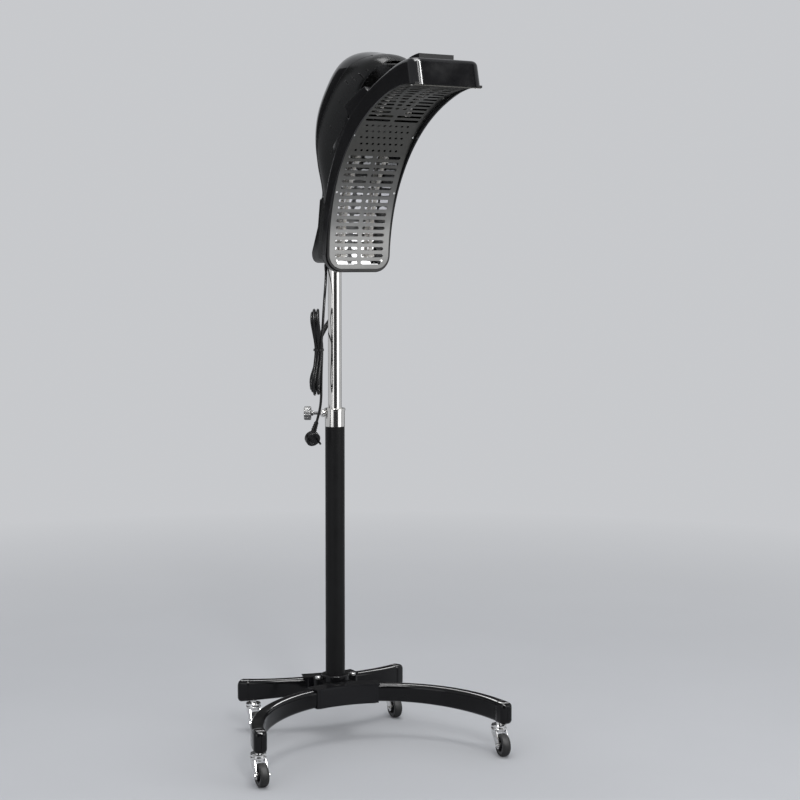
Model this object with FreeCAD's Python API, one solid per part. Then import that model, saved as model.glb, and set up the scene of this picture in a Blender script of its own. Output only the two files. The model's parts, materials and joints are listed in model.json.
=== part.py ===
"""Hair color processor on a rolling stand.

Frame: origin on the floor under the axis of the mast, +Z up, the client in
front at -Y. Millimetres. The base, the mast, the neck, the rear housing and
the arc head are built one after the other, each from its own functions.
"""
import FreeCAD, Part
import math
import os

os.makedirs("parts", exist_ok=True)

V = FreeCAD.Vector
ORIGIN = V(0, 0, 0)
X_AXIS = V(1, 0, 0)
Y_AXIS = V(0, 1, 0)
Z_AXIS = V(0, 0, 1)

# Base: two curved beams, a hub and four casters
BASE_TURN = -5.0
BEAM_WIDTH = 28.0
BEAM_WALL = 3.0
BEAM_BOTTOM_MIDDLE = 85.0
BEAM_BOTTOM_END = 73.0
BEAM_TOP_MIDDLE = 124.0
BEAM_TOP_END = 120.0
BEAM_EDGE_ROUND = 8.0
BEAM_PAST_STEM = 15.0
FRONT_STEM = (280.0, -294.0)
FRONT_BEAM_RADIUS = 284.5
FRONT_BEAM_MIDDLE_Y = -60.0
REAR_STEM = (173.0, 84.0)
REAR_BEAM_RADIUS = 362.0
REAR_BEAM_MIDDLE_Y = 40.0
SLEEVE_WIDTH = 34.0
SLEEVE_BOTTOM = 81.5
SLEEVE_TOP = 127.5
FRONT_SLEEVE_HALF = 80.0
REAR_SLEEVE_HALF = 62.0
SLEEVE_STEP = 6.0
SLEEVE_LIP = 1.0
HUB_RING_RADIUS = 32.5
HUB_BOTTOM = 86.0
HUB_PLATE_TOP = 122.0
HUB_TOP = 138.0
HUB_HALF_WIDTH = 36.0
HUB_LOBE_X = 43.0
HUB_LOBE_RADIUS = 11.0
HUB_LOBE_TOP = 131.0

# Casters
WHEEL_RADIUS = 25.0
WHEEL_HALF_WIDTH = 9.5
WHEEL_CORE_RADIUS = 18.5
CASTER_TRAIL = 22.0
AXLE_RADIUS = 3.0
STEM_RADIUS = 5.5
STEM_PIVOT_RADIUS = 4.0
RACE_RADIUS = 17.5
FORK_TOP = 59.8
FORK_CROWN_BOTTOM = 51.4
CHEEK_INNER = 11.0
CHEEK_OUTER = 13.4
RUNNING_GAP = 0.05

# Mast
LOWER_TUBE_RADIUS = 22.5
LOWER_TUBE_BORE = 20.5
LOWER_TUBE_TOP = 715.0
COLLAR_TOP = 757.0
UPPER_TUBE_RADIUS = 15.5
UPPER_TUBE_BORE = 13.7
UPPER_TUBE_BOTTOM = 420.0
UPPER_TUBE_TOP = 1093.0
CLAMP_HEIGHT = 745.0
CLAMP_DIRECTION = 152.5
CLAMP_SCREW_RADIUS = 3.5
CLAMP_KNOB_RADIUS = 16.0
CLAMP_KNOB_NEAR = 55.0
CLAMP_KNOB_FAR = 71.0
CLAMP_FLUTES = 12

# Cord, in the plane beside the mast: sideways, towards the front, height
CORD_RADIUS = 3.0
CORD_SIDE = V(math.cos(math.radians(-27.5)), math.sin(math.radians(-27.5)), 0)
CORD_FRONT = V(-math.sin(math.radians(27.5)), -math.cos(math.radians(27.5)), 0)
CORD_UPPER_ROUTE = [(-19.6, 4, 1074), (-19.6, 17.5, 1050.6), (-20.5, 31, 1030), (-22, 41, 1006),
                    (-23.5, 47, 980), (-25, 51, 950), (-30, 50, 910)]
CORD_LOWER_ROUTE = [(-34, 45, 815), (-29.6, 45, 784), (-32, 45, 757), (-39.5, 45, 730)]
HANK_SECTIONS = [
    # height, sideways centre, half width, half depth
    (791, -43, 8.0, 10.0),
    (804, -42, 14.2, 21.0),
    (845, -40.5, 13.0, 22.0),
    (894, -34.7, 9.4, 13.6),
    (940, -39.5, 11.2, 19.0),
    (974, -41, 11.8, 21.0),
    (988, -41, 7.0, 11.0),
]
HANK_FRONT = 46.0
TIE_HEIGHT = 894.0
TIE_HALF_WIDTH = 12.0
TIE_HALF_DEPTH = 16.4
TIE_WALL = 1.3
PLUG_CENTRE = (-50.0, 45.0, 692.0)
PLUG_FACING = (0.42, 0.80, -0.43)
PLUG_RADIUS = 17.0
PLUG_THICKNESS = 17.0
PLUG_PIN_RADIUS = 2.4
PLUG_PIN_LENGTH = 19.0
PLUG_PIN_OFFSET = 9.5

# Tilt hinge in the foot of the rear housing
TILT_HEIGHT = 1115.0
TILT_PIN_RADIUS = 5.0
EYE_RADIUS = 13.0
EYE_HALF_WIDTH = 11.0

# Arc head: an arc about HEAD_CENTRE seen from the side, (forward, up)
HEAD_FORWARD = 477.5
HEAD_HEIGHT = 1100.0
HEAD_CENTRE = V(0, -HEAD_FORWARD, HEAD_HEIGHT)
HEAD_HALF_WIDTH = 80.0
HEAD_WALL = 3.0
HEAD_BOTTOM = 1071.0
HEAD_BOTTOM_CORNER = 38.0
HEAD_TIP_CORNER = 22.0
HEAD_BACK_ROUND = 12.0
HEAD_BACK = [
    # angle from forward, radius
    (188.0, 378.5), (178.0, 380.0), (169.0, 384.0), (158.0, 388.5), (144.0, 390.0), (130.0, 389.5),
    (117.0, 387.0), (106.0, 386.5), (97.0, 391.5), (90.0, 398.5), (82.7, 403.2),
]
HEAD_LIP = [
    (79.3, 351.5), (91.0, 348.0), (103.0, 341.0), (120.0, 338.5), (137.0, 341.5), (145.0, 344.0),
    (155.0, 348.0), (168.0, 352.0), (178.0, 355.0), (188.0, 358.0),
]
END_COVER_HALF_WIDTH = 40.0

# Grille
GRILLE_RADIUS = 350.0
GRILLE_SHEET = 1.2
GRILLE_BOTTOM_ANGLE = 183.5
GRILLE_TIP_ANGLE = 80.4
GRILLE_BOTTOM_HALF = 72.5
GRILLE_TOP_HALF = 76.5
GRILLE_CORNER = 31.0
ROW_PITCH = 2.54
SLOT_HEIGHT = 7.5
LOWER_FIRST_ROW = 181.2
LOWER_ROWS = 17
UPPER_FIRST_ROW = 122.2
UPPER_ROWS = 16
UPPER_PLAIN_ROWS = 2
HOLE_ROWS = 5
HOLES_PER_ROW = 8
HOLE_RADIUS = 2.9
HOLE_PITCH = 14.0

# Drive of the arc head
DRIVE_ANGLE = 130.0
SHAFT_RADIUS = 10.0
GEAR_MODULE = 2.0
GEAR_TEETH = 36
PINION_TEETH = 12
GEAR_NEAR = 470.0
GEAR_FAR = 478.0

# Rear housing
BOWL_RADIUS = 442.0
SHELL_WALL = 3.0
SEAM_RADIUS = 485.0
FOOT_HALF_WIDTH = 38.0
FOOT_ROUND = 10.0
HOUSING_FRONT_RADIUS = 425.0
HOUSING_SECTIONS = [
    # angle from forward, rear radius, half width
    (166.0, 502.0, 40.0),
    (160.0, 509.0, 46.0),
    (154.5, 525.0, 60.0),
    (149.0, 546.0, 72.0),
    (142.0, 565.0, 79.0),
    (134.5, 568.0, 79.0),
    (127.0, 560.0, 76.0),
    (121.0, 526.0, 70.0),
    (116.0, 490.0, 58.0),
    (111.5, 455.0, 34.0),
]
PANEL_SLOPE = math.degrees(math.atan2(0.870, 0.493))
PANEL_START = (-47.3, 1123.4)


def save(name, shape):
    """Write one sub-part and print what was made."""
    shape.exportStep("parts/" + name + ".step")
    print("%-20s solids %d volume %.1f cm3 valid %s"
          % (name, len(shape.Solids), shape.Volume / 1000.0, shape.isValid()))


def cylinder(radius, low, high, x=0.0, y=0.0):
    return Part.makeCylinder(radius, high - low, V(x, y, low))


def tube(radius, bore, low, high, x=0.0, y=0.0):
    return cylinder(radius, low, high, x, y).cut(cylinder(bore, low, high, x, y))


def box(x0, x1, y0, y1, z0, z1):
    return Part.makeBox(x1 - x0, y1 - y0, z1 - z0, V(x0, y0, z0))


def fuse(shapes):
    return shapes[0].multiFuse(shapes[1:]).removeSplitter()


def turned_with_base(shape):
    copy = shape.copy()
    copy.rotate(ORIGIN, Z_AXIS, BASE_TURN)
    return copy


def revolve_profile(points, centre, axis, radial):
    """Full turn of a closed profile of (along the axis, out from the axis) points."""
    corners = [centre + axis * along + radial * out for along, out in points]
    face = Part.Face(Part.makePolygon(corners + corners[:1]))
    return face.revolve(centre, axis, 360)


def prism(points, vector):
    return Part.Face(Part.makePolygon(points + points[:1])).extrude(vector)


# ---------------------------------------------------------------- base

def plan_sector(radius, centre_y, middle_angle, half_angle, width, low, high):
    """Upright ring sector about (0, centre_y), seen in plan."""
    centre = V(0, centre_y, low)

    def point(r, angle):
        a = math.radians(angle)
        return centre + V(r * math.cos(a), r * math.sin(a), 0)

    inner = radius - width / 2.0
    outer = radius + width / 2.0
    start = middle_angle - half_angle
    end = middle_angle + half_angle
    edges = [
        Part.Arc(point(outer, start), point(outer, middle_angle), point(outer, end)).toShape(),
        Part.makeLine(point(outer, end), point(inner, end)),
        Part.Arc(point(inner, end), point(inner, middle_angle), point(inner, start)).toShape(),
        Part.makeLine(point(inner, start), point(outer, start)),
    ]
    return Part.Face(Part.Wire(edges)).extrude(V(0, 0, high - low))


def arched_band(end_x, inset):
    """Everything between the arched underside and the arched top of a beam."""
    reach = 1.2
    depth = 800.0

    def height(middle, end):
        return middle + (end - middle) * reach * reach

    def arc(middle, end):
        x = end_x * reach
        z = height(middle, end)
        return (V(-x, -depth, z), V(0, -depth, middle), V(x, -depth, z))

    low = arc(BEAM_BOTTOM_MIDDLE + inset, BEAM_BOTTOM_END + inset)
    high = arc(BEAM_TOP_MIDDLE - inset, BEAM_TOP_END - inset)
    edges = [
        Part.Arc(low[0], low[1], low[2]).toShape(),
        Part.makeLine(low[2], high[2]),
        Part.Arc(high[2], high[1], high[0]).toShape(),
        Part.makeLine(high[0], low[0]),
    ]
    return Part.Face(Part.Wire(edges)).extrude(V(0, 2 * depth, 0))


def beam_form(stem, radius, middle_y, inset):
    """Curved beam with rounded edges, or its cavity if inset is the wall."""
    forward = -1.0 if stem[1] < middle_y else 1.0
    centre_y = middle_y + forward * radius
    middle_angle = -90.0 * forward
    stem_angle = math.degrees(math.acos((stem[1] - centre_y) * -forward / radius))
    past_stem = BEAM_PAST_STEM if inset == 0 else -2.2 * BEAM_PAST_STEM
    half_angle = stem_angle + math.degrees(past_stem / radius)
    plan = plan_sector(radius, centre_y, middle_angle, half_angle, BEAM_WIDTH - 2 * inset, 50.0, 150.0)
    form = plan.common(arched_band(stem[0], inset)).Solids[0]
    return form.makeFillet(BEAM_EDGE_ROUND - inset, form.Edges)


def stem_places():
    return [(-FRONT_STEM[0], FRONT_STEM[1]), FRONT_STEM, (-REAR_STEM[0], REAR_STEM[1]), REAR_STEM]


def beam(stem, radius, middle_y):
    form = beam_form(stem, radius, middle_y, 0.0)
    cavity = beam_form(stem, radius, middle_y, BEAM_WALL)
    holes = [cylinder(STEM_RADIUS, 60.0, 100.0, side * stem[0], stem[1]) for side in (-1, 1)]
    return form.cut(cavity).cut(holes[0]).cut(holes[1])


def sleeve_form(stem, radius, middle_y, half_length, width, low, high):
    forward = -1.0 if stem[1] < middle_y else 1.0
    centre_y = middle_y + forward * radius
    half_angle = math.degrees(half_length / radius)
    return plan_sector(radius, centre_y, -90.0 * forward, half_angle, width, low, high)


def sleeve(stem, radius, middle_y, half_length):
    """Cover over the middle of a beam, with a lower step at each end and a lip on top."""
    body = sleeve_form(stem, radius, middle_y, half_length - SLEEVE_STEP, SLEEVE_WIDTH,
                       SLEEVE_BOTTOM, SLEEVE_TOP - 1.0)
    body = body.makeFillet(3.0, body.Edges)
    step = sleeve_form(stem, radius, middle_y, half_length, SLEEVE_WIDTH - 2.4,
                       SLEEVE_BOTTOM + 1.2, SLEEVE_TOP - 2.2)
    lip = sleeve_form(stem, radius, middle_y, half_length + 3.0, SLEEVE_WIDTH + SLEEVE_LIP,
                      SLEEVE_TOP - 3.0, SLEEVE_TOP)
    room = sleeve_form(stem, radius, middle_y, half_length + 20.0, BEAM_WIDTH,
                       BEAM_BOTTOM_MIDDLE - 1.2, BEAM_TOP_MIDDLE)
    return body.multiFuse([step, lip]).cut(room)


def hub(sleeve_envelopes):
    ring = cylinder(HUB_RING_RADIUS, HUB_BOTTOM, HUB_TOP)
    ring = ring.makeFillet(2.5, [ring.Edges[0]])
    plate = box(-HUB_HALF_WIDTH, HUB_HALF_WIDTH, FRONT_BEAM_MIDDLE_Y, REAR_BEAM_MIDDLE_Y,
                HUB_BOTTOM, HUB_PLATE_TOP)
    lobes = []
    for side in (-1, 1):
        lobes.append(cylinder(HUB_LOBE_RADIUS, HUB_BOTTOM, HUB_LOBE_TOP, side * HUB_LOBE_X))
        lobes.append(box(min(0, side * HUB_LOBE_X), max(0, side * HUB_LOBE_X),
                         -HUB_LOBE_RADIUS, HUB_LOBE_RADIUS, HUB_BOTTOM, HUB_LOBE_TOP - 3.0))
    body = fuse([ring, plate] + lobes)
    body = body.cut(sleeve_envelopes)
    body = body.cut(cylinder(LOWER_TUBE_RADIUS, HUB_BOTTOM + 3.0, HUB_TOP))
    for side in (-1, 1):
        body = body.cut(cylinder(4.0, HUB_LOBE_TOP - 25.0, HUB_LOBE_TOP, side * HUB_LOBE_X))
    return body.removeSplitter()


def hub_bolts():
    bolts = []
    for side in (-1, 1):
        x = side * HUB_LOBE_X
        head = cylinder(7.0, HUB_LOBE_TOP, HUB_LOBE_TOP + 5.0, x)
        head = head.makeFillet(2.0, [head.Edges[0]])
        bolts.append(head.fuse(cylinder(4.0, HUB_LOBE_TOP - 25.0, HUB_LOBE_TOP, x)))
    return Part.makeCompound(bolts)


# ---------------------------------------------------------------- casters

def caster_stem():
    race = revolve_profile([(60.3, 0), (60.3, 16.0), (61.8, RACE_RADIUS), (65.0, RACE_RADIUS),
                            (66.5, 16.0), (66.5, 7.0), (72.0, 7.0), (72.0, STEM_RADIUS),
                            (100.0, STEM_RADIUS), (100.0, 0)], ORIGIN, Z_AXIS, X_AXIS)
    pivot = cylinder(STEM_PIVOT_RADIUS, 55.0, 60.3)
    rivet = cylinder(STEM_PIVOT_RADIUS + 2.5, 52.4, 55.0)
    return fuse([race, pivot, rivet])


def fork():
    race = revolve_profile([(FORK_CROWN_BOTTOM, 0), (FORK_CROWN_BOTTOM, 15.6), (54.6, 15.6),
                            (55.8, RACE_RADIUS), (58.4, RACE_RADIUS), (FORK_TOP, 16.0),
                            (FORK_TOP, 0)], ORIGIN, Z_AXIS, X_AXIS)
    bore = cylinder(STEM_PIVOT_RADIUS + RUNNING_GAP, 50.0, 62.0)
    rivet_room = cylinder(STEM_PIVOT_RADIUS + 3.0, 50.0, 55.3)
    boss = 8.0
    cheeks = []
    for inner in (CHEEK_INNER, -CHEEK_OUTER):
        def at(trail, z):
            return V(inner, -trail, z)
        near = at(CASTER_TRAIL + 7.6, WHEEL_RADIUS + 2.5)
        far = at(CASTER_TRAIL - 7.6, WHEEL_RADIUS - 2.5)
        edges = [
            Part.makeLine(at(-11.0, 54.6), at(14.0, 54.6)),
            Part.makeLine(at(14.0, 54.6), near),
            Part.Arc(near, at(CASTER_TRAIL + 2.5, WHEEL_RADIUS - 7.6), far).toShape(),
            Part.makeLine(far, at(-11.0, 46.0)),
            Part.makeLine(at(-11.0, 46.0), at(-11.0, 54.6)),
        ]
        cheeks.append(Part.Face(Part.Wire(edges)).extrude(V(CHEEK_OUTER - CHEEK_INNER, 0, 0)))
    body = fuse([race] + cheeks).cut(bore).cut(rivet_room)
    hole = Part.makeCylinder(AXLE_RADIUS, 60.0, V(-30, -CASTER_TRAIL, WHEEL_RADIUS), X_AXIS)
    return body.cut(hole)


def axle():
    centre = V(0, -CASTER_TRAIL, WHEEL_RADIUS)
    pin = Part.makeCylinder(AXLE_RADIUS, 2 * CHEEK_OUTER, centre - X_AXIS * CHEEK_OUTER, X_AXIS)
    ends = []
    for side in (-1, 1):
        corners = [centre + V(side * CHEEK_OUTER, 5.2 * math.cos(math.radians(a)), 5.2 * math.sin(math.radians(a)))
                   for a in range(0, 360, 60)]
        ends.append(prism(corners, V(side * 2.6, 0, 0)))
        ends.append(Part.makeCylinder(3.0, 4.4, centre + X_AXIS * side * CHEEK_OUTER, X_AXIS * side))
    return fuse([pin] + ends)


def wheel_core():
    centre = V(0, -CASTER_TRAIL, WHEEL_RADIUS)
    bore = AXLE_RADIUS + RUNNING_GAP
    side = WHEEL_HALF_WIDTH - 1.0
    profile = [(-10.6, bore), (-10.6, 6.0), (-2.5, 7.5), (-2.5, 13.0), (-side, 14.5),
               (-side, WHEEL_CORE_RADIUS), (side, WHEEL_CORE_RADIUS), (side, 14.5), (2.5, 13.0),
               (2.5, 7.5), (10.6, 6.0), (10.6, bore)]
    return revolve_profile(profile, centre, X_AXIS, Z_AXIS)


def tyre():
    centre = V(0, -CASTER_TRAIL, WHEEL_RADIUS)
    half = WHEEL_HALF_WIDTH
    profile = [(-half + 1.0, WHEEL_CORE_RADIUS), (-half, WHEEL_CORE_RADIUS + 1.5), (-half, 21.8),
               (-half + 1.6, 23.6), (-half + 4.5, 24.7), (-3.0, WHEEL_RADIUS), (3.0, WHEEL_RADIUS),
               (half - 4.5, 24.7), (half - 1.6, 23.6), (half, 21.8), (half, WHEEL_CORE_RADIUS + 1.5),
               (half - 1.0, WHEEL_CORE_RADIUS)]
    return revolve_profile(profile, centre, X_AXIS, Z_AXIS)


CASTER_NAMES = ["front_left", "front_right", "rear_left", "rear_right"]
CASTER_HEADINGS = [2.0, -2.0, 0.0, 4.0]


def placed_caster_piece(shape, index):
    copy = shape.copy()
    copy.rotate(ORIGIN, Z_AXIS, CASTER_HEADINGS[index])
    x, y = stem_places()[index]
    copy.translate(V(x, y, 0))
    return turned_with_base(copy)


def build_base():
    front = (FRONT_STEM, FRONT_BEAM_RADIUS, FRONT_BEAM_MIDDLE_Y)
    rear = (REAR_STEM, REAR_BEAM_RADIUS, REAR_BEAM_MIDDLE_Y)
    envelopes = []
    for name, place, half in (("front", front, FRONT_SLEEVE_HALF), ("rear", rear, REAR_SLEEVE_HALF)):
        save(name + "_beam", turned_with_base(beam(*place)))
        save(name + "_sleeve", turned_with_base(sleeve(*place, half)))
        envelopes.append(sleeve_form(*place, half, SLEEVE_WIDTH, SLEEVE_BOTTOM, SLEEVE_TOP))
        envelopes.append(sleeve_form(*place, half, SLEEVE_WIDTH + SLEEVE_LIP, SLEEVE_TOP - 3.0, SLEEVE_TOP))
    save("hub", turned_with_base(hub(envelopes)))
    save("hub_bolts", turned_with_base(hub_bolts()))
    save("caster_stems", Part.makeCompound([placed_caster_piece(caster_stem(), i) for i in range(4)]))
    pieces = {"caster_fork": fork(), "caster_axle": axle(), "caster_wheel": wheel_core(), "caster_tyre": tyre()}
    for piece, shape in pieces.items():
        for index, corner in enumerate(CASTER_NAMES):
            save(piece + "_" + corner, placed_caster_piece(shape, index))


# ---------------------------------------------------------------- mast

def clamp_axis():
    a = math.radians(CLAMP_DIRECTION)
    return V(math.cos(a), math.sin(a), 0)


def clamp_rod(radius, start, end):
    return Part.makeCylinder(radius, end - start, V(0, 0, CLAMP_HEIGHT) + clamp_axis() * start, clamp_axis())


def clamp_collar():
    body = revolve_profile([(690, 18.0), (690, LOWER_TUBE_BORE), (LOWER_TUBE_TOP, LOWER_TUBE_BORE),
                            (LOWER_TUBE_TOP, 22.8), (751.5, 22.8), (752.0, 24.0), (755.5, 24.0),
                            (COLLAR_TOP, 22.6), (COLLAR_TOP, 18.0)], ORIGIN, Z_AXIS, X_AXIS)
    boss = Part.makeSphere(9.0, V(0, 0, CLAMP_HEIGHT) + clamp_axis() * 27.0)
    boss = boss.fuse(clamp_rod(7.0, 19.0, 27.0)).cut(cylinder(21.0, 700.0, 790.0))
    return body.fuse(boss).cut(clamp_rod(CLAMP_SCREW_RADIUS + RUNNING_GAP, 10.0, 40.0)).removeSplitter()


def collar_bush():
    body = tube(18.0, UPPER_TUBE_RADIUS + RUNNING_GAP, 690.0, COLLAR_TOP)
    return body.cut(clamp_rod(CLAMP_SCREW_RADIUS + RUNNING_GAP, 10.0, 40.0))


def clamp_knob():
    screw = clamp_rod(CLAMP_SCREW_RADIUS, UPPER_TUBE_RADIUS + 0.3, CLAMP_KNOB_FAR - 2.0)
    grip = clamp_rod(CLAMP_KNOB_RADIUS, CLAMP_KNOB_NEAR, CLAMP_KNOB_FAR)
    grip = grip.makeFillet(2.5, [edge for edge in grip.Edges if edge.Closed])
    across = V(0, 0, 1)
    flutes = []
    for index in range(CLAMP_FLUTES):
        flute = clamp_rod(2.0, CLAMP_KNOB_NEAR - 1.0, CLAMP_KNOB_FAR + 1.0)
        flute.translate(across * (CLAMP_KNOB_RADIUS + 0.6))
        flute.rotate(V(0, 0, CLAMP_HEIGHT), clamp_axis(), index * 360.0 / CLAMP_FLUTES)
        flutes.append(flute)
    return grip.cut(flutes).fuse(screw).fuse(clamp_rod(6.0, CLAMP_KNOB_NEAR - 5.0, CLAMP_KNOB_NEAR + 1.0))


def cord_point(side, front, height):
    return CORD_SIDE * side + CORD_FRONT * front + V(0, 0, height)


def cord_tube(route, radius, label):
    """Straight runs joined by the largest tangent arcs that fit them."""
    points = [cord_point(*place) for place in route]
    edges = []
    start = points[0]
    for before, corner, after in zip(points, points[1:], points[2:]):
        back = (before - corner).normalize()
        ahead = (after - corner).normalize()
        turn = math.pi - back.getAngle(ahead)
        shorter = min((before - corner).Length, (after - corner).Length)
        radius_of_arc = 0.45 * shorter / math.tan(turn / 2.0)
        arc_start = corner + back * (0.45 * shorter)
        arc_end = corner + ahead * (0.45 * shorter)
        to_centre = (back + ahead).normalize()
        centre = corner + to_centre * (radius_of_arc / math.cos(turn / 2.0))
        middle = centre - to_centre * radius_of_arc
        edges.append(Part.LineSegment(start, arc_start).toShape())
        edges.append(Part.Arc(arc_start, middle, arc_end).toShape())
        print("%s arc radius %.1f" % (label, radius_of_arc))
        start = arc_end
    edges.append(Part.LineSegment(start, points[-1]).toShape())
    path = Part.Wire(edges)
    direction = points[1] - points[0]
    section = Part.Wire(Part.makeCircle(radius, points[0], direction))
    solid = path.makePipeShell([section], True, False)
    expected = math.pi * radius * radius * path.Length
    print("%s volume %.1f of %.1f" % (label, solid.Volume, expected))
    return solid


def upright_ellipse(side, front, height, half_width, half_depth):
    """Closed wire with its half width along CORD_SIDE and its half depth along CORD_FRONT."""
    centre = cord_point(side, front, height)
    major, minor = max(half_width, half_depth), min(half_width, half_depth)
    main = CORD_SIDE if half_width >= half_depth else CORD_FRONT
    ellipse = Part.Ellipse(centre + main * major, centre + Z_AXIS.cross(main) * minor, centre)
    return Part.Wire(ellipse.toShape())


def hank():
    wires = [upright_ellipse(side, HANK_FRONT, height, half_width, half_depth)
             for height, side, half_width, half_depth in HANK_SECTIONS]
    return Part.makeLoft(wires, True, False)


def cord_gland():
    ring = tube(UPPER_TUBE_RADIUS + 2.0, UPPER_TUBE_RADIUS, 1078.0, 1090.0)
    start = cord_point(*CORD_UPPER_ROUTE[0])
    back = (start - cord_point(*CORD_UPPER_ROUTE[1])).normalize()
    relief = Part.makeCone(CORD_RADIUS + 0.5, 4.6, 16.0, start, back)
    return ring.fuse(relief).cut(cylinder(UPPER_TUBE_RADIUS, 1060.0, 1093.0)).removeSplitter()


def cord_tie():
    """Band round the waist of the hank."""
    side, low = -34.7, TIE_HEIGHT - 2.5
    outer = upright_ellipse(side, HANK_FRONT, low, TIE_HALF_WIDTH, TIE_HALF_DEPTH)
    inner = upright_ellipse(side, HANK_FRONT, low, TIE_HALF_WIDTH - TIE_WALL, TIE_HALF_DEPTH - TIE_WALL)
    band = Part.Face(outer).extrude(Z_AXIS * 5.0).cut(Part.Face(inner).extrude(Z_AXIS * 5.0))
    return band


def power_plug():
    """Angled plug: a ribbed strain relief into the rim of a round body, and two pins."""
    top = cord_point(*CORD_LOWER_ROUTE[-1])
    centre = cord_point(*PLUG_CENTRE)
    facing = (cord_point(*PLUG_FACING)).normalize()
    drum = Part.makeCylinder(PLUG_RADIUS, PLUG_THICKNESS, centre - facing * (PLUG_THICKNESS / 2.0), facing)
    rims = [edge for edge in drum.Edges if edge.Closed]
    back_rim = min(rims, key=lambda edge: edge.CenterOfMass.dot(facing))
    front_rim = max(rims, key=lambda edge: edge.CenterOfMass.dot(facing))
    drum = drum.makeFillet(5.0, [back_rim])
    front_rim = max([edge for edge in drum.Edges if edge.Closed], key=lambda edge: edge.CenterOfMass.dot(facing))
    drum = drum.makeFillet(1.5, [front_rim])
    relief_end = cord_point(-47.5, 45.0, 706.0)
    length = (relief_end - top).Length
    along = (relief_end - top).normalize()
    pieces = [drum, Part.makeCone(4.0, 6.0, length, top, along)]
    for rib in range(4):
        start = 3.0 + 5.0 * rib
        pieces.append(Part.makeCylinder(5.2 + 0.4 * rib, 2.4, top + along * start, along))
    beside = facing.cross(Z_AXIS).normalize()
    for sign in (-1, 1):
        start = centre + facing * (PLUG_THICKNESS / 2.0 - 2.0) + beside * sign * PLUG_PIN_OFFSET
        pin = Part.makeCylinder(PLUG_PIN_RADIUS, PLUG_PIN_LENGTH + 2.0, start, facing)
        tip = max([edge for edge in pin.Edges if edge.Closed], key=lambda edge: edge.CenterOfMass.dot(facing))
        pieces.append(pin.makeFillet(1.2, [tip]))
    return fuse(pieces)


def build_mast():
    save("lower_tube", tube(LOWER_TUBE_RADIUS, LOWER_TUBE_BORE, HUB_BOTTOM + 3.0, LOWER_TUBE_TOP))
    save("clamp_collar", clamp_collar())
    save("collar_bush", collar_bush())
    save("clamp_knob", clamp_knob())
    save("upper_tube", tube(UPPER_TUBE_RADIUS, UPPER_TUBE_BORE, UPPER_TUBE_BOTTOM, UPPER_TUBE_TOP))
    save("mast_guide_bush", tube(LOWER_TUBE_BORE - 0.1, UPPER_TUBE_RADIUS, UPPER_TUBE_BOTTOM,
                                 UPPER_TUBE_BOTTOM + 35.0))
    save("cord_gland", cord_gland())
    upper = cord_tube(CORD_UPPER_ROUTE, CORD_RADIUS, "upper cord")
    lower = cord_tube(CORD_LOWER_ROUTE, CORD_RADIUS, "lower cord")
    bundle = hank()
    runs = [run.cut(bundle).Solids for run in (upper, lower)]
    save("power_cord", Part.makeCompound([max(solids, key=lambda solid: solid.Volume) for solids in runs]))
    save("cord_hank", bundle)
    save("cord_tie", cord_tie().cut(bundle))
    save("power_plug", power_plug().cut(lower))


# ---------------------------------------------------------------- side profiles

def side(forward, up, x=0.0):
    """Point given by how far forward and how high it is."""
    return V(x, -forward, up)


def polar(radius, angle, x=0.0):
    """Point on a circle about the centre of the arc head."""
    a = math.radians(angle)
    return side(HEAD_FORWARD + radius * math.cos(a), HEAD_HEIGHT + radius * math.sin(a), x)


def outward(angle):
    a = math.radians(angle)
    return V(0, -math.cos(a), math.sin(a))


def onward(angle):
    """Direction in which the angle grows: up over the top and down the back."""
    a = math.radians(angle)
    return V(0, math.sin(a), math.cos(a))


def smooth_edge(points):
    curve = Part.BSplineCurve()
    curve.interpolate(points)
    return curve.toShape()


def drive_rod(radius, start, end, aside=0.0):
    """Cylinder about the drive axis, or moved aside along the arc."""
    base = HEAD_CENTRE + outward(DRIVE_ANGLE) * start + onward(DRIVE_ANGLE) * aside
    return Part.makeCylinder(radius, end - start, base, outward(DRIVE_ANGLE))


# ---------------------------------------------------------------- neck and rear housing

def neck_socket():
    stem = cylinder(UPPER_TUBE_BORE - 0.1, 1040.0, UPPER_TUBE_TOP + 0.5)
    flange = cylinder(UPPER_TUBE_RADIUS, UPPER_TUBE_TOP + 0.3, 1098.0)
    column = cylinder(9.5, 1098.0, TILT_HEIGHT)
    eye = Part.makeCylinder(EYE_RADIUS, 2 * EYE_HALF_WIDTH, V(-EYE_HALF_WIDTH, 0, TILT_HEIGHT), X_AXIS)
    bore = Part.makeCylinder(TILT_PIN_RADIUS + RUNNING_GAP, 60.0, V(-30, 0, TILT_HEIGHT), X_AXIS)
    return fuse([stem, flange, column, eye]).cut(bore)


def foot_form(inset):
    """Foot and neck of the rear housing, extruded across its width."""
    start = V(0, 0, 0)
    tangent = side(*PANEL_START)
    edges = [
        Part.makeLine(side(60, 1092), side(-29, 1092)),
        Part.Arc(side(-29, 1092), side(-48.6, 1105.5), tangent).toShape(),
        Part.makeLine(tangent, side(-16.7, 1177.3)),
        Part.makeLine(side(-16.7, 1177.3), side(-5, 1240)),
        Part.makeLine(side(-5, 1240), side(75, 1262)),
        Part.makeLine(side(75, 1262), side(60, 1092)),
    ]
    face = Part.Face(Part.Wire(edges))
    if inset > 0:
        face = face.makeOffset2D(-inset)
    half = FOOT_HALF_WIDTH - inset
    face.translate(V(-half, 0, 0) - start)
    solid = face.extrude(V(2 * half, 0, 0))
    round_edges = [edge for edge in solid.Edges
                   if abs(abs(edge.CenterOfMass.x) - half) < 0.01 and edge.Length > 1.0]
    return solid.makeFillet(FOOT_ROUND - inset, round_edges)


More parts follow.
